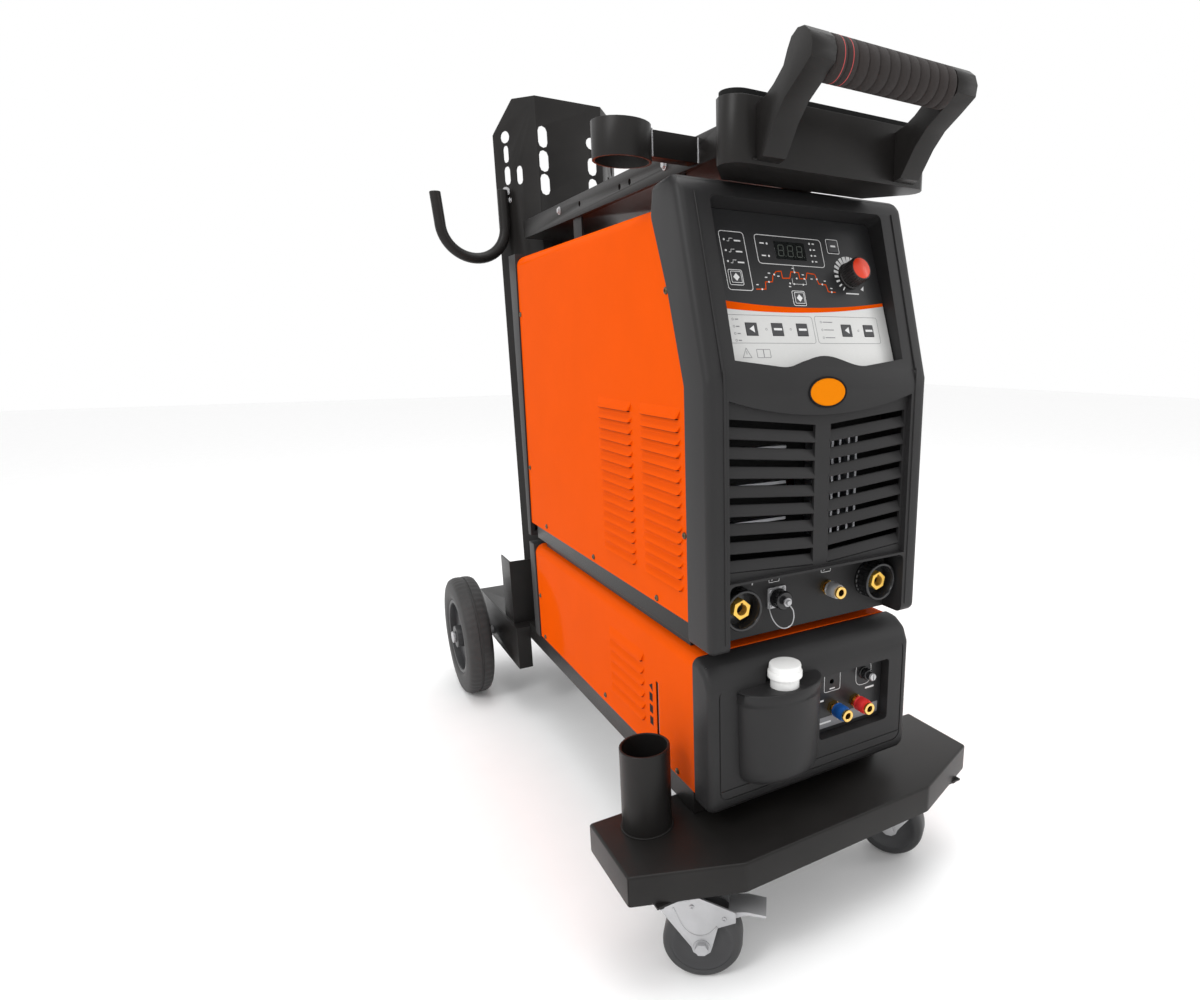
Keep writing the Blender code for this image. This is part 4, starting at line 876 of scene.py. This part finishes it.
def control_panel():
    panel = link("control_panel_film", prism(panel_outline(), -0.004, 0.0))
    holes = [key_hole(x, y) for x, y in KEYS.values()]
    carve(panel, [group(*holes, rod(0.0035, -0.01, 0.01, "Z", KNOB, 20))])
    finish(panel, "panel_film", replaces=("control_panel",), matrix=PANEL, bevel=0.0003)

    edge = PANEL_HALF_WIDTH - 0.0012
    xs = [-edge + 2 * edge * i / 36 for i in range(37)]
    lower_edge = [(x, stripe_low(x)) for x in xs]
    area = [(x, bend_panel_bottom(x) + 0.001) for x in xs] + lower_edge[::-1]
    silver = link("panel_silver_area", prism(area, 0.00002, 0.00016))
    carve(silver, [group(*[key_hole(x, y) for x, y in KEYS.values() if y < 0.08])])
    finish(silver, "panel_silver", matrix=PANEL)
    stripe = prism(lower_edge + [(x, stripe_high(x)) for x in reversed(xs)], 0.00002, 0.0003)
    piece("panel_orange_stripe", stripe, "print_orange", matrix=PANEL)
    wave = [bar(a, b, 0.001) for a, b in zip(WAVE, WAVE[1:])]
    piece("panel_cycle_line", group(*wave), "print_orange", matrix=PANEL)
    piece("panel_frames", panel_frames(), "print_white", matrix=PANEL)
    piece("panel_lamps", panel_lamps(), "print_white", matrix=PANEL, angle=60.0)
    piece("panel_legends", panel_legends(), "print_white", matrix=PANEL)
    piece("panel_low_legends", panel_low_legends(), "print_grey", matrix=PANEL)
    display()
    knob_scale()


def panel_frames():
    frames = [outline_frame((-0.1042, -0.071), (0.105, 0.1745), 0.004, 0.0007),
              outline_frame((-0.057, 0.0394), (0.1386, 0.174), 0.0045, 0.0007)]
    for key in ("mode_key", "point_key", "channel_key"):
        x, y = KEYS[key]
        frames.append(outline_frame((x - 0.0094, x + 0.0094), (y - 0.0092, y + 0.0092), 0.0022, 0.0007))
    return group(*frames)


# Heights of the rows of lamps: three modes, the display's left two and right four, and the lower left four
MODE_ROWS = (0.1643, 0.1514, 0.1387)
LEFT_ROWS = (0.1636, 0.1486)
RIGHT_ROWS = (0.1679, 0.1603, 0.153, 0.1456)
LOW_ROWS = (0.0712, 0.0629, 0.0547, 0.0468)


def panel_lamps():
    lamps = [lamp(-0.0983, v) for v in MODE_ROWS]
    lamps += [lamp(-0.0407, v) for v in LEFT_ROWS] + [lamp(0.0217, v) for v in RIGHT_ROWS]
    spots = ((-0.059, 0.1076), (-0.0478, 0.1169), (-0.0385, 0.1262), (-0.0085, 0.1306), (-0.007, 0.1231),
             (0.004, 0.1232), (0.0228, 0.1236), (0.0298, 0.1175), (0.042, 0.1084), (-0.018, 0.1165),
             (-0.012, 0.116), (0.001, 0.1158))
    lamps += [lamp(x, y, 0.0012) for x, y in spots]
    return group(*lamps)


def panel_legends():
    """Short dashes and step symbols where the real panel has small print."""
    shapes = []
    for v in MODE_ROWS:
        rise = [(-0.0945, v - 0.0018), (-0.092, v - 0.0018), (-0.0912, v + 0.0018), (-0.087, v + 0.0018)]
        shapes += [bar(a, b, 0.0005) for a, b in zip(rise, rise[1:])]
        shapes.append(bar((-0.0845, v - 0.0006), (-0.0775, v - 0.0006), 0.0016))
    shapes += [bar((-0.05, v), (-0.0455, v), 0.0014) for v in LEFT_ROWS]
    shapes += [bar((0.0262, v), (0.028, v), 0.0014) for v in RIGHT_ROWS]
    for u, v in ((-0.0645, 0.1128), (-0.0505, 0.1222), (-0.0455, 0.1275), (-0.033, 0.1245), (-0.01, 0.1352),
                 (0.003, 0.128), (0.015, 0.1235), (0.0345, 0.1218), (0.0425, 0.113), (-0.019, 0.1125)):
        shapes.append(bar((u - 0.001, v), (u + 0.001, v), 0.0011))
    x, y = KNOB
    shapes.append(bar((x - 0.0105, y - 0.0225), (x + 0.0085, y - 0.0225), 0.0014))
    for a, b in (((-0.0089, 0.1386), (-0.0089, 0.131)), ((-0.014, 0.116), (-0.014, 0.1225)),
                 ((0.006, 0.116), (0.006, 0.123)), ((-0.014, 0.116), (0.006, 0.116))):
        shapes.append(bar(a, b, 0.0004))
    return group(*shapes)


def panel_low_legends():
    """Two outlines, lamp rings, dashes, a warning triangle and an open book."""
    shapes = [outline_frame((-0.1154, 0.0038), (0.0435, 0.0766), 0.0035, 0.0005, SILVER_PRINT),
              outline_frame((0.0072, 0.1052), (0.0436, 0.0774), 0.0035, 0.0005, SILVER_PRINT)]
    shapes += [lamp_ring(-0.1065, v) for v in LOW_ROWS]
    shapes += [lamp_ring(u, v) for u, v in ((-0.0639, 0.0601), (-0.03, 0.0605), (0.0162, 0.0701),
                                            (0.0162, 0.0605), (0.0162, 0.0509), (0.072, 0.0601))]
    shapes += [bar((-0.103, v), (-0.1, v), 0.0012, SILVER_PRINT) for v in LOW_ROWS]
    shapes += [bar((0.0195, v), (0.033, v), 0.001, SILVER_PRINT) for v in (0.0701, 0.0605, 0.0509)]
    corners = [(-0.102, 0.027), (-0.0905, 0.027), (-0.0962, 0.038)]
    shapes += [bar(a, b, 0.0006, SILVER_PRINT) for a, b in zip(corners, corners[1:] + corners[:1])]
    shapes.append(bar((-0.0962, 0.031), (-0.0962, 0.034), 0.0007, SILVER_PRINT))
    shapes += [outline_frame(x, (0.0265, 0.0368), 0.001, 0.0006, SILVER_PRINT)
               for x in ((-0.083, -0.0735), (-0.0738, -0.0643))]
    return group(*shapes)


def display():
    """The window with three unlit digits of seven segments, each with its point."""
    glass = slab((-0.031, 0.0131), (0.1452, 0.1673), 0.0008, 0.00002, 0.0005)
    piece("display_window", glass, "display_glass", matrix=PANEL, bevel=0.0002)
    segments = [((-1, 1), (1, 1)), ((-1, 0), (1, 0)), ((-1, -1), (1, -1)), ((-1, 0), (-1, 1)),
                ((1, 0), (1, 1)), ((-1, -1), (-1, 0)), ((1, -1), (1, 0))]
    y, wide, high, lean, low, top = 0.1562, 0.0036, 0.0066, 0.0006, 0.00045, 0.00062
    shapes = []
    for k in range(3):
        x = -0.0225 + k * 0.0134
        for ends in segments:
            a, b = (Vector((x + u * wide + v * lean, y + v * high)) for u, v in ends)
            inward = (b - a).normalized() * 0.001
            shapes.append(bar(a + inward, b - inward, 0.0012, top, low))
        shapes.append(moved(rod(0.0006, low, top, sides=10), (x + wide + 0.0022, y - high, 0.0)))
    piece("display_digits", group(*shapes), "display_segment", matrix=PANEL)


def knob_scale():
    """Blocks that grow round the knob's left side, and the wedge at its lower right."""
    x, y = KNOB
    shapes = []
    count, near, far = 11, 0.0192, 0.0226
    for k in range(count):
        angle = math.radians(232 - 164 * k / (count - 1))
        a, b = ((x + reach * math.cos(angle), y + reach * math.sin(angle)) for reach in (near, far))
        shapes.append(bar(a, b, 2 * (0.0007 + 0.00022 * k)))
    wedge = [(x + 0.0135, y - 0.0165), (x + 0.0175, y - 0.0185), (x + 0.019, y - 0.012)]
    shapes.append(prism(wedge, 0.0, PRINT))
    piece("knob_scale", group(*shapes), "print_white", matrix=PANEL)


def keys():
    low, high = 0.0009, 0.0012
    for name, (x, y) in KEYS.items():
        cap = slab((x - 0.0075, x + 0.0075), (y - 0.00725, y + 0.00725), 0.0012, -0.003, 0.001)
        piece(f"{name}_cap", cap, "key_rubber", body=name, replaces=(name,), matrix=PANEL, bevel=0.0003)
        if name in ("mode_key", "point_key"):
            outer = rounded((x - 0.007, x + 0.007), (y - 0.0068, y + 0.0068), 0.001)
            inner = rounded((x - 0.0064, x + 0.0064), (y - 0.0062, y + 0.0062), 0.0008)
            marks = [prism([(x - 0.0042, y), (x, y - 0.0046), (x + 0.0042, y), (x, y + 0.0046)], low, high),
                     ring_prism(outer, inner, low, high)]
        elif name in ("stroke_key", "function_key"):
            marks = [prism([(x - 0.0035, y), (x + 0.003, y - 0.0042), (x + 0.003, y + 0.0042)], low, high)]
        else:
            half, wide = (0.0026, 0.0022) if name == "channel_key" else (0.0042, 0.0026)
            marks = [bar((x - half, y), (x + half, y), wide, high, low)]
        piece(f"{name}_mark", group(*marks), "print_white", body=name, matrix=PANEL)


def knob():
    radius, high, lift = 0.0165, 0.024, 0.0008
    flutes = 28
    profile = [(0.0, -0.0035), (0.003, -0.0035), (0.003, lift), (radius, lift), (radius, lift + 0.0016),
               (radius - 0.0007, lift + 0.0024), (radius - 0.0011, high - 0.0028), (radius - 0.0024, high - 0.0006),
               (radius - 0.0032, high - 0.0004), (radius - 0.0034, high - 0.0014), (0.0, high - 0.0014)]
    place = PANEL @ at(*KNOB, 0.0)
    piece("knob_body", turned(profile, flutes * 5, flutes, 0.0009, (5, 6)), "knob_plastic", body="adjust_knob",
          replaces=("adjust_knob",), matrix=place, angle=40.0)
    cap = [(0.0, high - 0.0016), (radius - 0.0036, high - 0.0016), (radius - 0.0036, high - 0.0006),
           (radius - 0.0044, high), (0.0, high + 0.0003)]
    piece("knob_cap", turned(cap, 48), "knob_cap", body="adjust_knob", matrix=place, angle=40.0)


def cover_section(bottom, top, radius=0.018, sheet=0.0015):
    """A cover's bent sheet, seen from the front."""
    def arch(half, high, corner):
        return ([(half, bottom)] + arc((half - corner, high - corner), corner, 0, 90, 10)
                + arc((corner - half, high - corner), corner, 90, 180, 10) + [(-half, bottom)])
    return arch(COVER_HALF, top, radius) + arch(COVER_HALF - sheet, top - sheet, radius - sheet)[::-1]


def side_louvre(side, y_low, y_high, low, high, out):
    """A pressed hood on the cover's side: it swells out downwards and ends in a lip."""
    shape = bmesh.new()
    stations, steps, end = 28, 9, 0.008
    rows = []
    for i in range(stations + 1):
        y = y_low + (y_high - y_low) * i / stations
        reach = min(1.0, (y - y_low) / end, (y_high - y) / end)
        swell = math.sqrt(max(0.0, 1.0 - (1.0 - reach) ** 2))
        bottom = low + (high - low) * 0.75 * (1.0 - swell)
        row = []
        for k in range(steps + 1):
            t = k / steps
            z = high - (high - bottom) * t
            lift = out * swell * math.sin(t * math.pi / 2) ** 1.3
            row.append((side * (LOUVRE_ROOT + lift), y, z))
        row.append((side * LOUVRE_ROOT, y, bottom - 0.0002))
        rows.append([shape.verts.new(p) for p in row])
    for before, after in zip(rows, rows[1:]):
        for k in range(len(before) - 1):
            shape.faces.new((before[k], before[k + 1], after[k + 1], after[k]))
        shape.faces.new((before[-1], before[0], after[0], after[-1]))
    shape.faces.new(rows[0])
    shape.faces.new(rows[-1])
    bmesh.ops.remove_doubles(shape, verts=shape.verts, dist=0.000001)
    bmesh.ops.recalc_face_normals(shape, faces=shape.faces)
    return shape


def louvre_bank(name, columns, low, high, rows, out=0.0042):
    """Columns of hoods on both sides, each hood over a dark strip of painted shade in its opening."""
    hoods, shadows = [], []
    pitch = (high - low) / rows
    for side in (-1, 1):
        for y_low, y_high in columns:
            for row in range(rows):
                z = low + row * pitch
                tall = pitch * (0.62 if row < rows - 1 else 0.95)
                hoods.append(side_louvre(side, y_low, y_high, z, z + tall, out))
                # Painted shade: a dark box under each hood's lip fills its opening
                shadows.append(box(span(side, LOUVRE_ROOT, LOUVRE_ROOT + out * 0.75),
                                   (y_low + 0.006, y_high - 0.006), (z - 0.0006, z + 0.0002)))
    piece(f"{name}_louvres", group(*hoods), "orange_coat", angle=45.0)
    piece(f"{name}_louvre_painted_shade", group(*shadows), "dark_inside")


def power_cover():
    cover = link("power_cover_sheet", prism(cover_section(0.4435, 0.9216), -0.47, 0.19, "Y"))
    gap = 0.0003
    side = [(-0.4558 + gap, 0.43), (-0.4577 + gap, 0.7238), (-0.4232 + gap, 0.8256), (-0.3877 + gap, 0.9053),
            (-0.3803 + gap, 0.922), (-0.3803 + gap, 0.94), (0.1656, 0.94), (0.1656, 0.9216), (0.1877, 0.4435),
            (0.1877, 0.43)]
    carve(cover, [prism(side, -0.2, 0.2, "X")], "INTERSECT")
    finish(cover, "orange_coat", replaces=("power_cover",), bevel=0.0005, segments=2, angle=50.0)
    louvre_bank("power_cover", ((-0.304, -0.189), (-0.442, -0.331)), 0.48, 0.701, 15)
    spots = [(-0.4142, 0.8285), (0.164, 0.8237), (0.172, 0.551), (0.0936, 0.4541), (-0.1387, 0.4522),
             (-0.3643, 0.4502), (-0.4469, 0.551)]
    cover_screws("power_cover_screws", spots)


def cover_screws(name, spots):
    heads = [screw_head(0.0042, 0.0024, at(side * COVER_HALF, y, z) @ turn)
             for side, turn in ((-1, LEFTWARD), (1, RIGHTWARD)) for y, z in spots]
    piece(name, group(*heads), "screw_brown", angle=40.0)


def cooler_cover():
    cover = link("cooler_cover_sheet", prism(cover_section(0.216, 0.4032), -0.4619, 0.1762, "Y"))
    carve(cover, [slab((-0.359, -0.351), (0.248, 0.328), 0.0015, -0.17, -0.14, "X")])
    finish(cover, "orange_coat", replaces=("cooler_cover",), bevel=0.0005, segments=2, angle=50.0)
    louvre_bank("cooler_cover", ((-0.315, -0.19),), 0.252, 0.36, 6)
    glass = slab((-0.3584, -0.3516), (0.2486, 0.3274), 0.0012, -0.1566, -0.1556, "X")
    piece("level_window", glass, "display_glass")
    skin = (-0.15862, -LOUVRE_ROOT, "X")
    marks = [slab((-0.34, -0.33), (z, z + 0.012), 0.0008, *skin) for z in (0.256, 0.274, 0.292)]
    marks.append(prism([(-0.341, 0.308), (-0.33, 0.314), (-0.34, 0.32)], *skin))
    piece("level_marks", group(*marks), "dark_inside")
    cover_screws("cooler_cover_screws", [(0.164, 0.3032), (0.149, 0.2232), (-0.16, 0.2284), (-0.4116, 0.2229)])


# ---------------------------------------------------------------- sockets and couplers

def front_place(x, z, face=FITTINGS_FACE - 0.0003):
    """Where a fitting sits on a front face, with its own Z pointing forwards."""
    return at(x, face, z) @ FRONTWARD


def dinse_sockets():
    ribs = 24
    collar = [(0.0, 0.0), (0.0255, 0.0), (0.0255, 0.003), (0.025, 0.004), (0.025, 0.021), (0.0255, 0.022),
              (0.0255, 0.0242), (0.0247, 0.025), (0.0225, 0.025), (0.0217, 0.0242), (0.02, 0.006),
              (0.0, 0.006)]
    for name, side in (("left", -1), ("right", 1)):
        place = front_place(side * 0.1076, FITTINGS_Z)
        piece(f"{name}_dinse_collar", turned(collar, ribs * 5, ribs, 0.001, (3, 4)), "socket_plastic",
              replaces=(f"{name}_dinse_socket",), matrix=place, angle=40.0)
        insert = link(f"{name}_dinse_insert", prism(circle(0.0125, 6, start=0.3), 0.0055, 0.019))
        key = box((-0.0016, 0.0016), (0.0, 0.0088), (0.008, 0.03))
        carve(insert, [rod(0.007, 0.008, 0.03), key])
        finish(insert, "gold_insert", matrix=place, bevel=0.0008)
        # Painted shade: a dark disc down the insert's bore
        piece(f"{name}_dinse_bore_shade", rod(0.0068, 0.007, 0.0086), "dark_inside", matrix=place)


def control_socket():
    hold = front_place(-0.0455, FITTINGS_Z, FITTINGS_FACE)
    half, spread = 0.0135, 0.0098
    plate = slab((-half, half), (-half, half), 0.002, 0.0003, 0.0025)
    screws = [screw_head(0.0026, 0.0018, at(x, y, 0.0025))
              for x in (-spread, spread) for y in (-spread, spread)]
    barrel = rod(0.0105, 0.0015, 0.0115, sides=40)
    tether = [(-0.012, -0.009, 0.003), (-0.0135, -0.015, 0.007), (-0.0125, -0.024, 0.012),
              (-0.008, -0.032, 0.017), (-0.001, -0.035, 0.0215), (0.006, -0.031, 0.0252),
              (0.009, -0.022, 0.0265), (0.008, -0.012, 0.0264), (0.0035, -0.005, 0.0263)]
    cable = swept(smooth_path(tether, 7), 0.0008, 10)
    ring = turned([(0.0028, 0.0252), (0.0055, 0.0252), (0.0055, 0.0268), (0.0028, 0.0268)], 32)
    piece("control_socket_flange", group(plate, barrel, *screws, cable, ring), "zinc",
          replaces=("control_socket",), matrix=hold)
    ribs = 18
    outer, bore, stud = 0.0125, 0.0108, 0.0022
    cap = [(0.0, 0.012), (bore, 0.012), (bore, 0.0055), (outer, 0.0055), (outer, 0.007),
           (outer - 0.0004, 0.0078), (outer - 0.0004, 0.0172), (outer, 0.018), (outer - 0.0006, 0.0192),
           (0.0108, 0.0205), (0.003, 0.0205), (0.0, 0.0205)]
    piece("dust_cap_body", turned(cap, ribs * 5, ribs, 0.0008, (6, 7)), "socket_plastic", body="dust_cap",
          replaces=("dust_cap",), matrix=hold, angle=40.0)
    stem = [(0.0, 0.02), (stud, 0.02), (stud, 0.027), (0.0034, 0.0274), (0.0037, 0.0286), (0.003, 0.03),
            (0.0, 0.0305)]
    piece("dust_cap_stud", turned(stem, 28), "zinc", body="dust_cap", matrix=hold, angle=50.0)


def coupler(name, hold, finish_name, node, stands_for=()):
    """A quick coupler: hexagon root, stem with a bored nose, and the knurled sleeve that slides on it."""
    hexagon = prism(circle(0.0098, 6, start=0.2), 0.0, 0.0055)
    profile = [(0.0, 0.0), (0.0052, 0.0), (0.0052, 0.0285), (0.0078, 0.0288), (0.0082, 0.0296), (0.0082, 0.0328),
               (0.0076, 0.0335), (0.005, 0.0335), (0.0043, 0.0328), (0.0043, 0.024), (0.0, 0.024)]
    piece(f"{name}_stem", group(hexagon, turned(profile, 40)), "brass", replaces=stands_for, matrix=hold)
    ribs = 30
    sleeve = [(0.0055, 0.0095), (0.0092, 0.0095), (0.0098, 0.0104), (0.01, 0.0122), (0.0095, 0.0128),
              (0.0095, 0.0142), (0.01, 0.0148), (0.01, 0.0248), (0.0092, 0.0256), (0.009, 0.0283),
              (0.0055, 0.0283)]
    piece(f"{name}_knurled", turned(sleeve, ribs * 4, ribs, 0.0006, (6, 7)), finish_name, body=node,
          replaces=(node,), matrix=hold, angle=40.0)
    # Painted shade: a dark disc in the nose's bore
    piece(f"{name}_bore", rod(0.0041, 0.0236, 0.0246, sides=24), "dark_inside", matrix=hold)


def couplers():
    coupler("gas_coupler", front_place(0.033, FITTINGS_Z), "zinc", "gas_outlet_sleeve", ("gas_outlet",))
    for name, x in WATER_X.items():
        place = front_place(x, WATER_Z, PLATE_FACE - 0.0003)
        coupler(f"{name}_coupler", place, f"{name}_paint", f"{name}_sleeve",
                ("water_couplers",) if name == "blue" else ())


def fittings_symbols():
    """Small moulded symbols over the fittings."""
    z, high = 0.488, 0.0004
    shapes = []
    for x in (-0.0486, 0.033):
        shapes += [outline_frame((x - 0.008, x + 0.008), (z - 0.0058, z + 0.0058), 0.0018, 0.0007, high),
                   bar((x - 0.0035, z - 0.0028), (x + 0.003, z + 0.0022), 0.0008, high)]
    shapes += [bar((-0.0845, z), (-0.0775, z), 0.0014, high),
               bar((-0.081, z - 0.0035), (-0.081, z + 0.0035), 0.0014, high),
               bar((0.0775, z), (0.0845, z), 0.0014, high)]
    hold = at(0.0, FITTINGS_FACE, 0.0) @ FRONTWARD
    piece("fittings_symbols", group(*[moved(shape, hold) for shape in shapes]), "print_white")


# ---------------------------------------------------------------- cooler front

def pocket_outline(grow, depth=0.04, steps=32):
    root = COOLER_FACE + 0.002
    half = 0.06 + grow
    return [(FILLER_X + half * math.cos(a), root + (depth + grow) * math.sin(a))
            for a in (math.pi + math.pi * i / steps for i in range(steps + 1))]


def neck_hole(radius, low, high):
    return rod(radius, low, high, "Z", (FILLER_X, FILLER_Y), 48)


def cooler_bezel():
    bottom, face, half = 0.2035, COOLER_FACE, COOLER_HALF
    seam = [(-0.4622, 0.402), (-0.4622, bottom)]
    profile = seam + [(-0.495, bottom), (face, 0.215), (face, 0.37), (-0.496, 0.39), (-0.478, 0.401)]
    shape = prism(profile, -half, half, "X")
    round_sides(shape, half, seam)
    bezel = link("cooler_bezel_moulding", shape)
    inner = face + 0.015
    cavity = prism([(-0.4, 0.2095), (inner, 0.2095), (inner, 0.385), (-0.485, 0.396), (-0.4, 0.396)],
                   -half + 0.006, half - 0.006, "X")
    window = slab((0.004, 0.1225), (0.262, 0.352), 0.0055, -0.53, -0.47, "Y")
    groove = ring_prism(rounded((-0.148, 0.148), (0.224, 0.374), 0.012),
                        rounded((-0.1462, 0.1462), (0.2258, 0.3722), 0.0105), -0.52, face + 0.0012, "Y")
    step_line = box((-0.1465, 0.1465), (-0.52, face + 0.001), (0.2364, 0.238))
    for cutter in (cavity, groove, step_line, window):
        carve(bezel, [cutter])
    pocket = link("filler_pocket", pocket_shape())
    carve(pocket, [neck_hole(0.0185, 0.31, 0.4)])
    carve(bezel, [neck_hole(0.0185, 0.31, 0.41), neck_hole(0.0235, 0.3665, 0.41)])
    finish(bezel, "dark_moulding", replaces=("cooler_bezel",), bevel=0.0014, angle=38.0)
    finish(pocket, "dark_moulding", bevel=0.0018, angle=50.0)


def pocket_shape():
    """The half-round housing of the filler neck: a raised rim, a body that narrows, and a rounded foot."""
    levels = [(0.2393, -0.02), (0.241, -0.012), (0.245, -0.006), (0.252, -0.003), (0.266, -0.0018),
              (0.346, -0.0006), (0.35, -0.0004), (0.3512, 0.001), (0.364, 0.001), (0.3655, 0.0)]
    shape = bmesh.new()
    rings = []
    for z, grow in levels:
        outline = pocket_outline(grow)
        back = [(outline[-1][0], -0.499), (outline[0][0], -0.499)]
        rings.append([shape.verts.new((x, y, z)) for x, y in outline + back])
    for low, high in zip(rings, rings[1:]):
        count = len(low)
        for k in range(count):
            m = (k + 1) % count
            shape.faces.new((low[k], low[m], high[m], high[k]))
    shape.faces.new(rings[0])
    shape.faces.new(rings[-1])
    bmesh.ops.recalc_face_normals(shape, faces=shape.faces)
    return shape


def filler_cap():
    high, radius, ribs = 0.0172, 0.0215, 36
    profile = [(0.0, -0.008), (0.0146, -0.008), (0.0146, 0.0), (radius - 0.0012, 0.0), (radius, 0.0008),
               (radius, 0.007), (radius - 0.0008, 0.0084), (radius - 0.0016, 0.0088),
               (radius - 0.0016, high - 0.0022), (radius - 0.0022, high - 0.0008), (radius - 0.0042, high),
               (0.0, high - 0.0003)]
    shell = turned(profile, ribs * 4, ribs, 0.0004, (8,))
    piece("filler_cap_shell", shell, "white_plastic", body="filler_cap",
          replaces=("filler_cap",), matrix=at(FILLER_X, FILLER_Y, 0.3768))


def connector_panel():
    """The plate behind the cooler's window, its print, and the fuse cap with its slotted tip."""
    shape = slab((-0.002, 0.1285), (0.256, 0.358), 0.002, PLATE_FACE, PLATE_FACE + 0.002, "Y")
    plate = link("connector_plate", shape)
    holes = [rod(0.0053, -0.5, -0.47, "Y", (x, WATER_Z), 24) for x in WATER_X.values()]
    carve(plate, [group(*holes, rod(0.0035, -0.5, -0.47, "Y", SIGNAL, 20))])
    finish(plate, "panel_film", replaces=("connector_panel",))
    hold = at(0.0, PLATE_FACE, 0.0) @ FRONTWARD
    frames = [outline_frame((0.0225, 0.05), (0.319, 0.347), 0.003, 0.0007),
              outline_frame((0.077, 0.1045), (0.315, 0.349), 0.01, 0.0007),
              bar((0.033, 0.323), (0.04, 0.323), 0.0016)]
    piece("connector_outlines", group(*frames), "print_white", matrix=hold)
    strip = slab((0.008, 0.118), (0.2677, 0.2836), 0.001, 0.0, 0.0004)
    piece("connector_strip", strip, "print_grey", matrix=hold)
    labels = [bar((x, 0.3085), (x + 0.013, 0.3085), 0.0026, 0.0002) for x in (0.008, 0.096)]
    labels += [bar((x, 0.2756), (x + 0.02, 0.2756), 0.0024, 0.0006) for x in (0.014, 0.048, 0.086)]
    piece("connector_labels", group(*labels), "print_white", matrix=hold)
    fuse = [(0.0, 0.0), (0.0085, 0.0), (0.0085, 0.0016), (0.0078, 0.0022), (0.0078, 0.0098), (0.0068, 0.011),
            (0.0055, 0.0114), (0.0052, 0.017), (0.0, 0.017)]
    place = front_place(0.0906, 0.333, PLATE_FACE - 0.0003)
    piece("fuse_cap_body", turned(fuse, 100, 20, 0.0005, (3, 4)), "socket_plastic", body="fuse_cap",
          replaces=("fuse_cap",), matrix=place, angle=40.0)
    rounding = [(0.0, 0.0165), (0.005, 0.0165), (0.005, 0.02), (0.0044, 0.0208), (0.0, 0.021)]
    tip = link("fuse_cap_tip", turned(rounding, 32))
    carve(tip, [box((-0.0007, 0.0007), (-0.009, 0.009), (0.0196, 0.023))])
    finish(tip, "zinc", body="fuse_cap", matrix=place)


# ---------------------------------------------------------------- rear

def rear_details():
    """Fan guards, screws and the gas inlet on the rear panels."""
    shapes = []
    for z in (0.62, 0.308):
        hold = at(0.0, REAR_FACE + 0.0006, z) @ REARWARD
        for radius in (0.02, 0.032, 0.044, 0.056, 0.065):
            inner, outer = radius - 0.0011, radius + 0.0011
            wire = [(inner, 0.0), (outer, 0.0), (outer, 0.0018), (inner, 0.0018)]
            shapes.append(moved(turned(wire, 48), hold))
        for quarter in range(4):
            turn = Matrix.Rotation(math.radians(45 + 90 * quarter), 4, "Z")
            spoke = box((0.018, 0.07), (-0.0011, 0.0011), (0.0016, 0.0032))
            shapes.append(moved(spoke, hold @ turn))
    piece("fan_guards", group(*shapes), "zinc", angle=40.0)
    heads = [screw_head(0.004, 0.0024, at(x, REAR_FACE, z) @ REARWARD) for x in (-0.15, 0.15)
             for z in (0.43, 0.67, 0.912, 0.226, 0.392)]
    piece("rear_screws", group(*heads), "zinc", angle=40.0)
    inlet = [(0.0, 0.0), (0.009, 0.0), (0.009, 0.006), (0.0055, 0.0064), (0.0055, 0.01), (0.0066, 0.0112),
             (0.005, 0.015), (0.0062, 0.0162), (0.0046, 0.0205), (0.0025, 0.0205), (0.0025, 0.004), (0.0, 0.004)]
    piece("gas_inlet", turned(inlet, 32), "brass", matrix=at(0.095, REAR_FACE, 0.5) @ REARWARD)


# ---------------------------------------------------------------- the whole

def make_floor():
    reach = (-12.0, 12.0)
    floor = link("studio_floor", box(reach, reach, (-0.02, 0.0)))
    floor.data.materials.append(MATERIALS["floor"])


def finish_carried_nodes():
    """The CAD nodes that nothing stands for keep their own mesh."""
    slots = slots_of_nodes()
    for name, node in frame["nodes"].items():
        if node.hide_render:
            continue
        node.data.materials.clear()
        node.data.materials.append(MATERIALS[slots[name]])


def main():
    set_camera()
    set_light()
    make_floor()
    soften_sheet_work()
    step_edges()
    rod_tube()
    cable_hook()
    top_rails()
    tray_details()
    ring_welds()
    handle_grip()
    rear_wheels()
    castors()
    power_bezel()
    control_panel()
    keys()
    knob()
    power_cover()
    cooler_cover()
    dinse_sockets()
    control_socket()
    couplers()
    fittings_symbols()
    cooler_bezel()
    filler_cap()
    connector_panel()
    rear_details()
    finish_carried_nodes()


main()
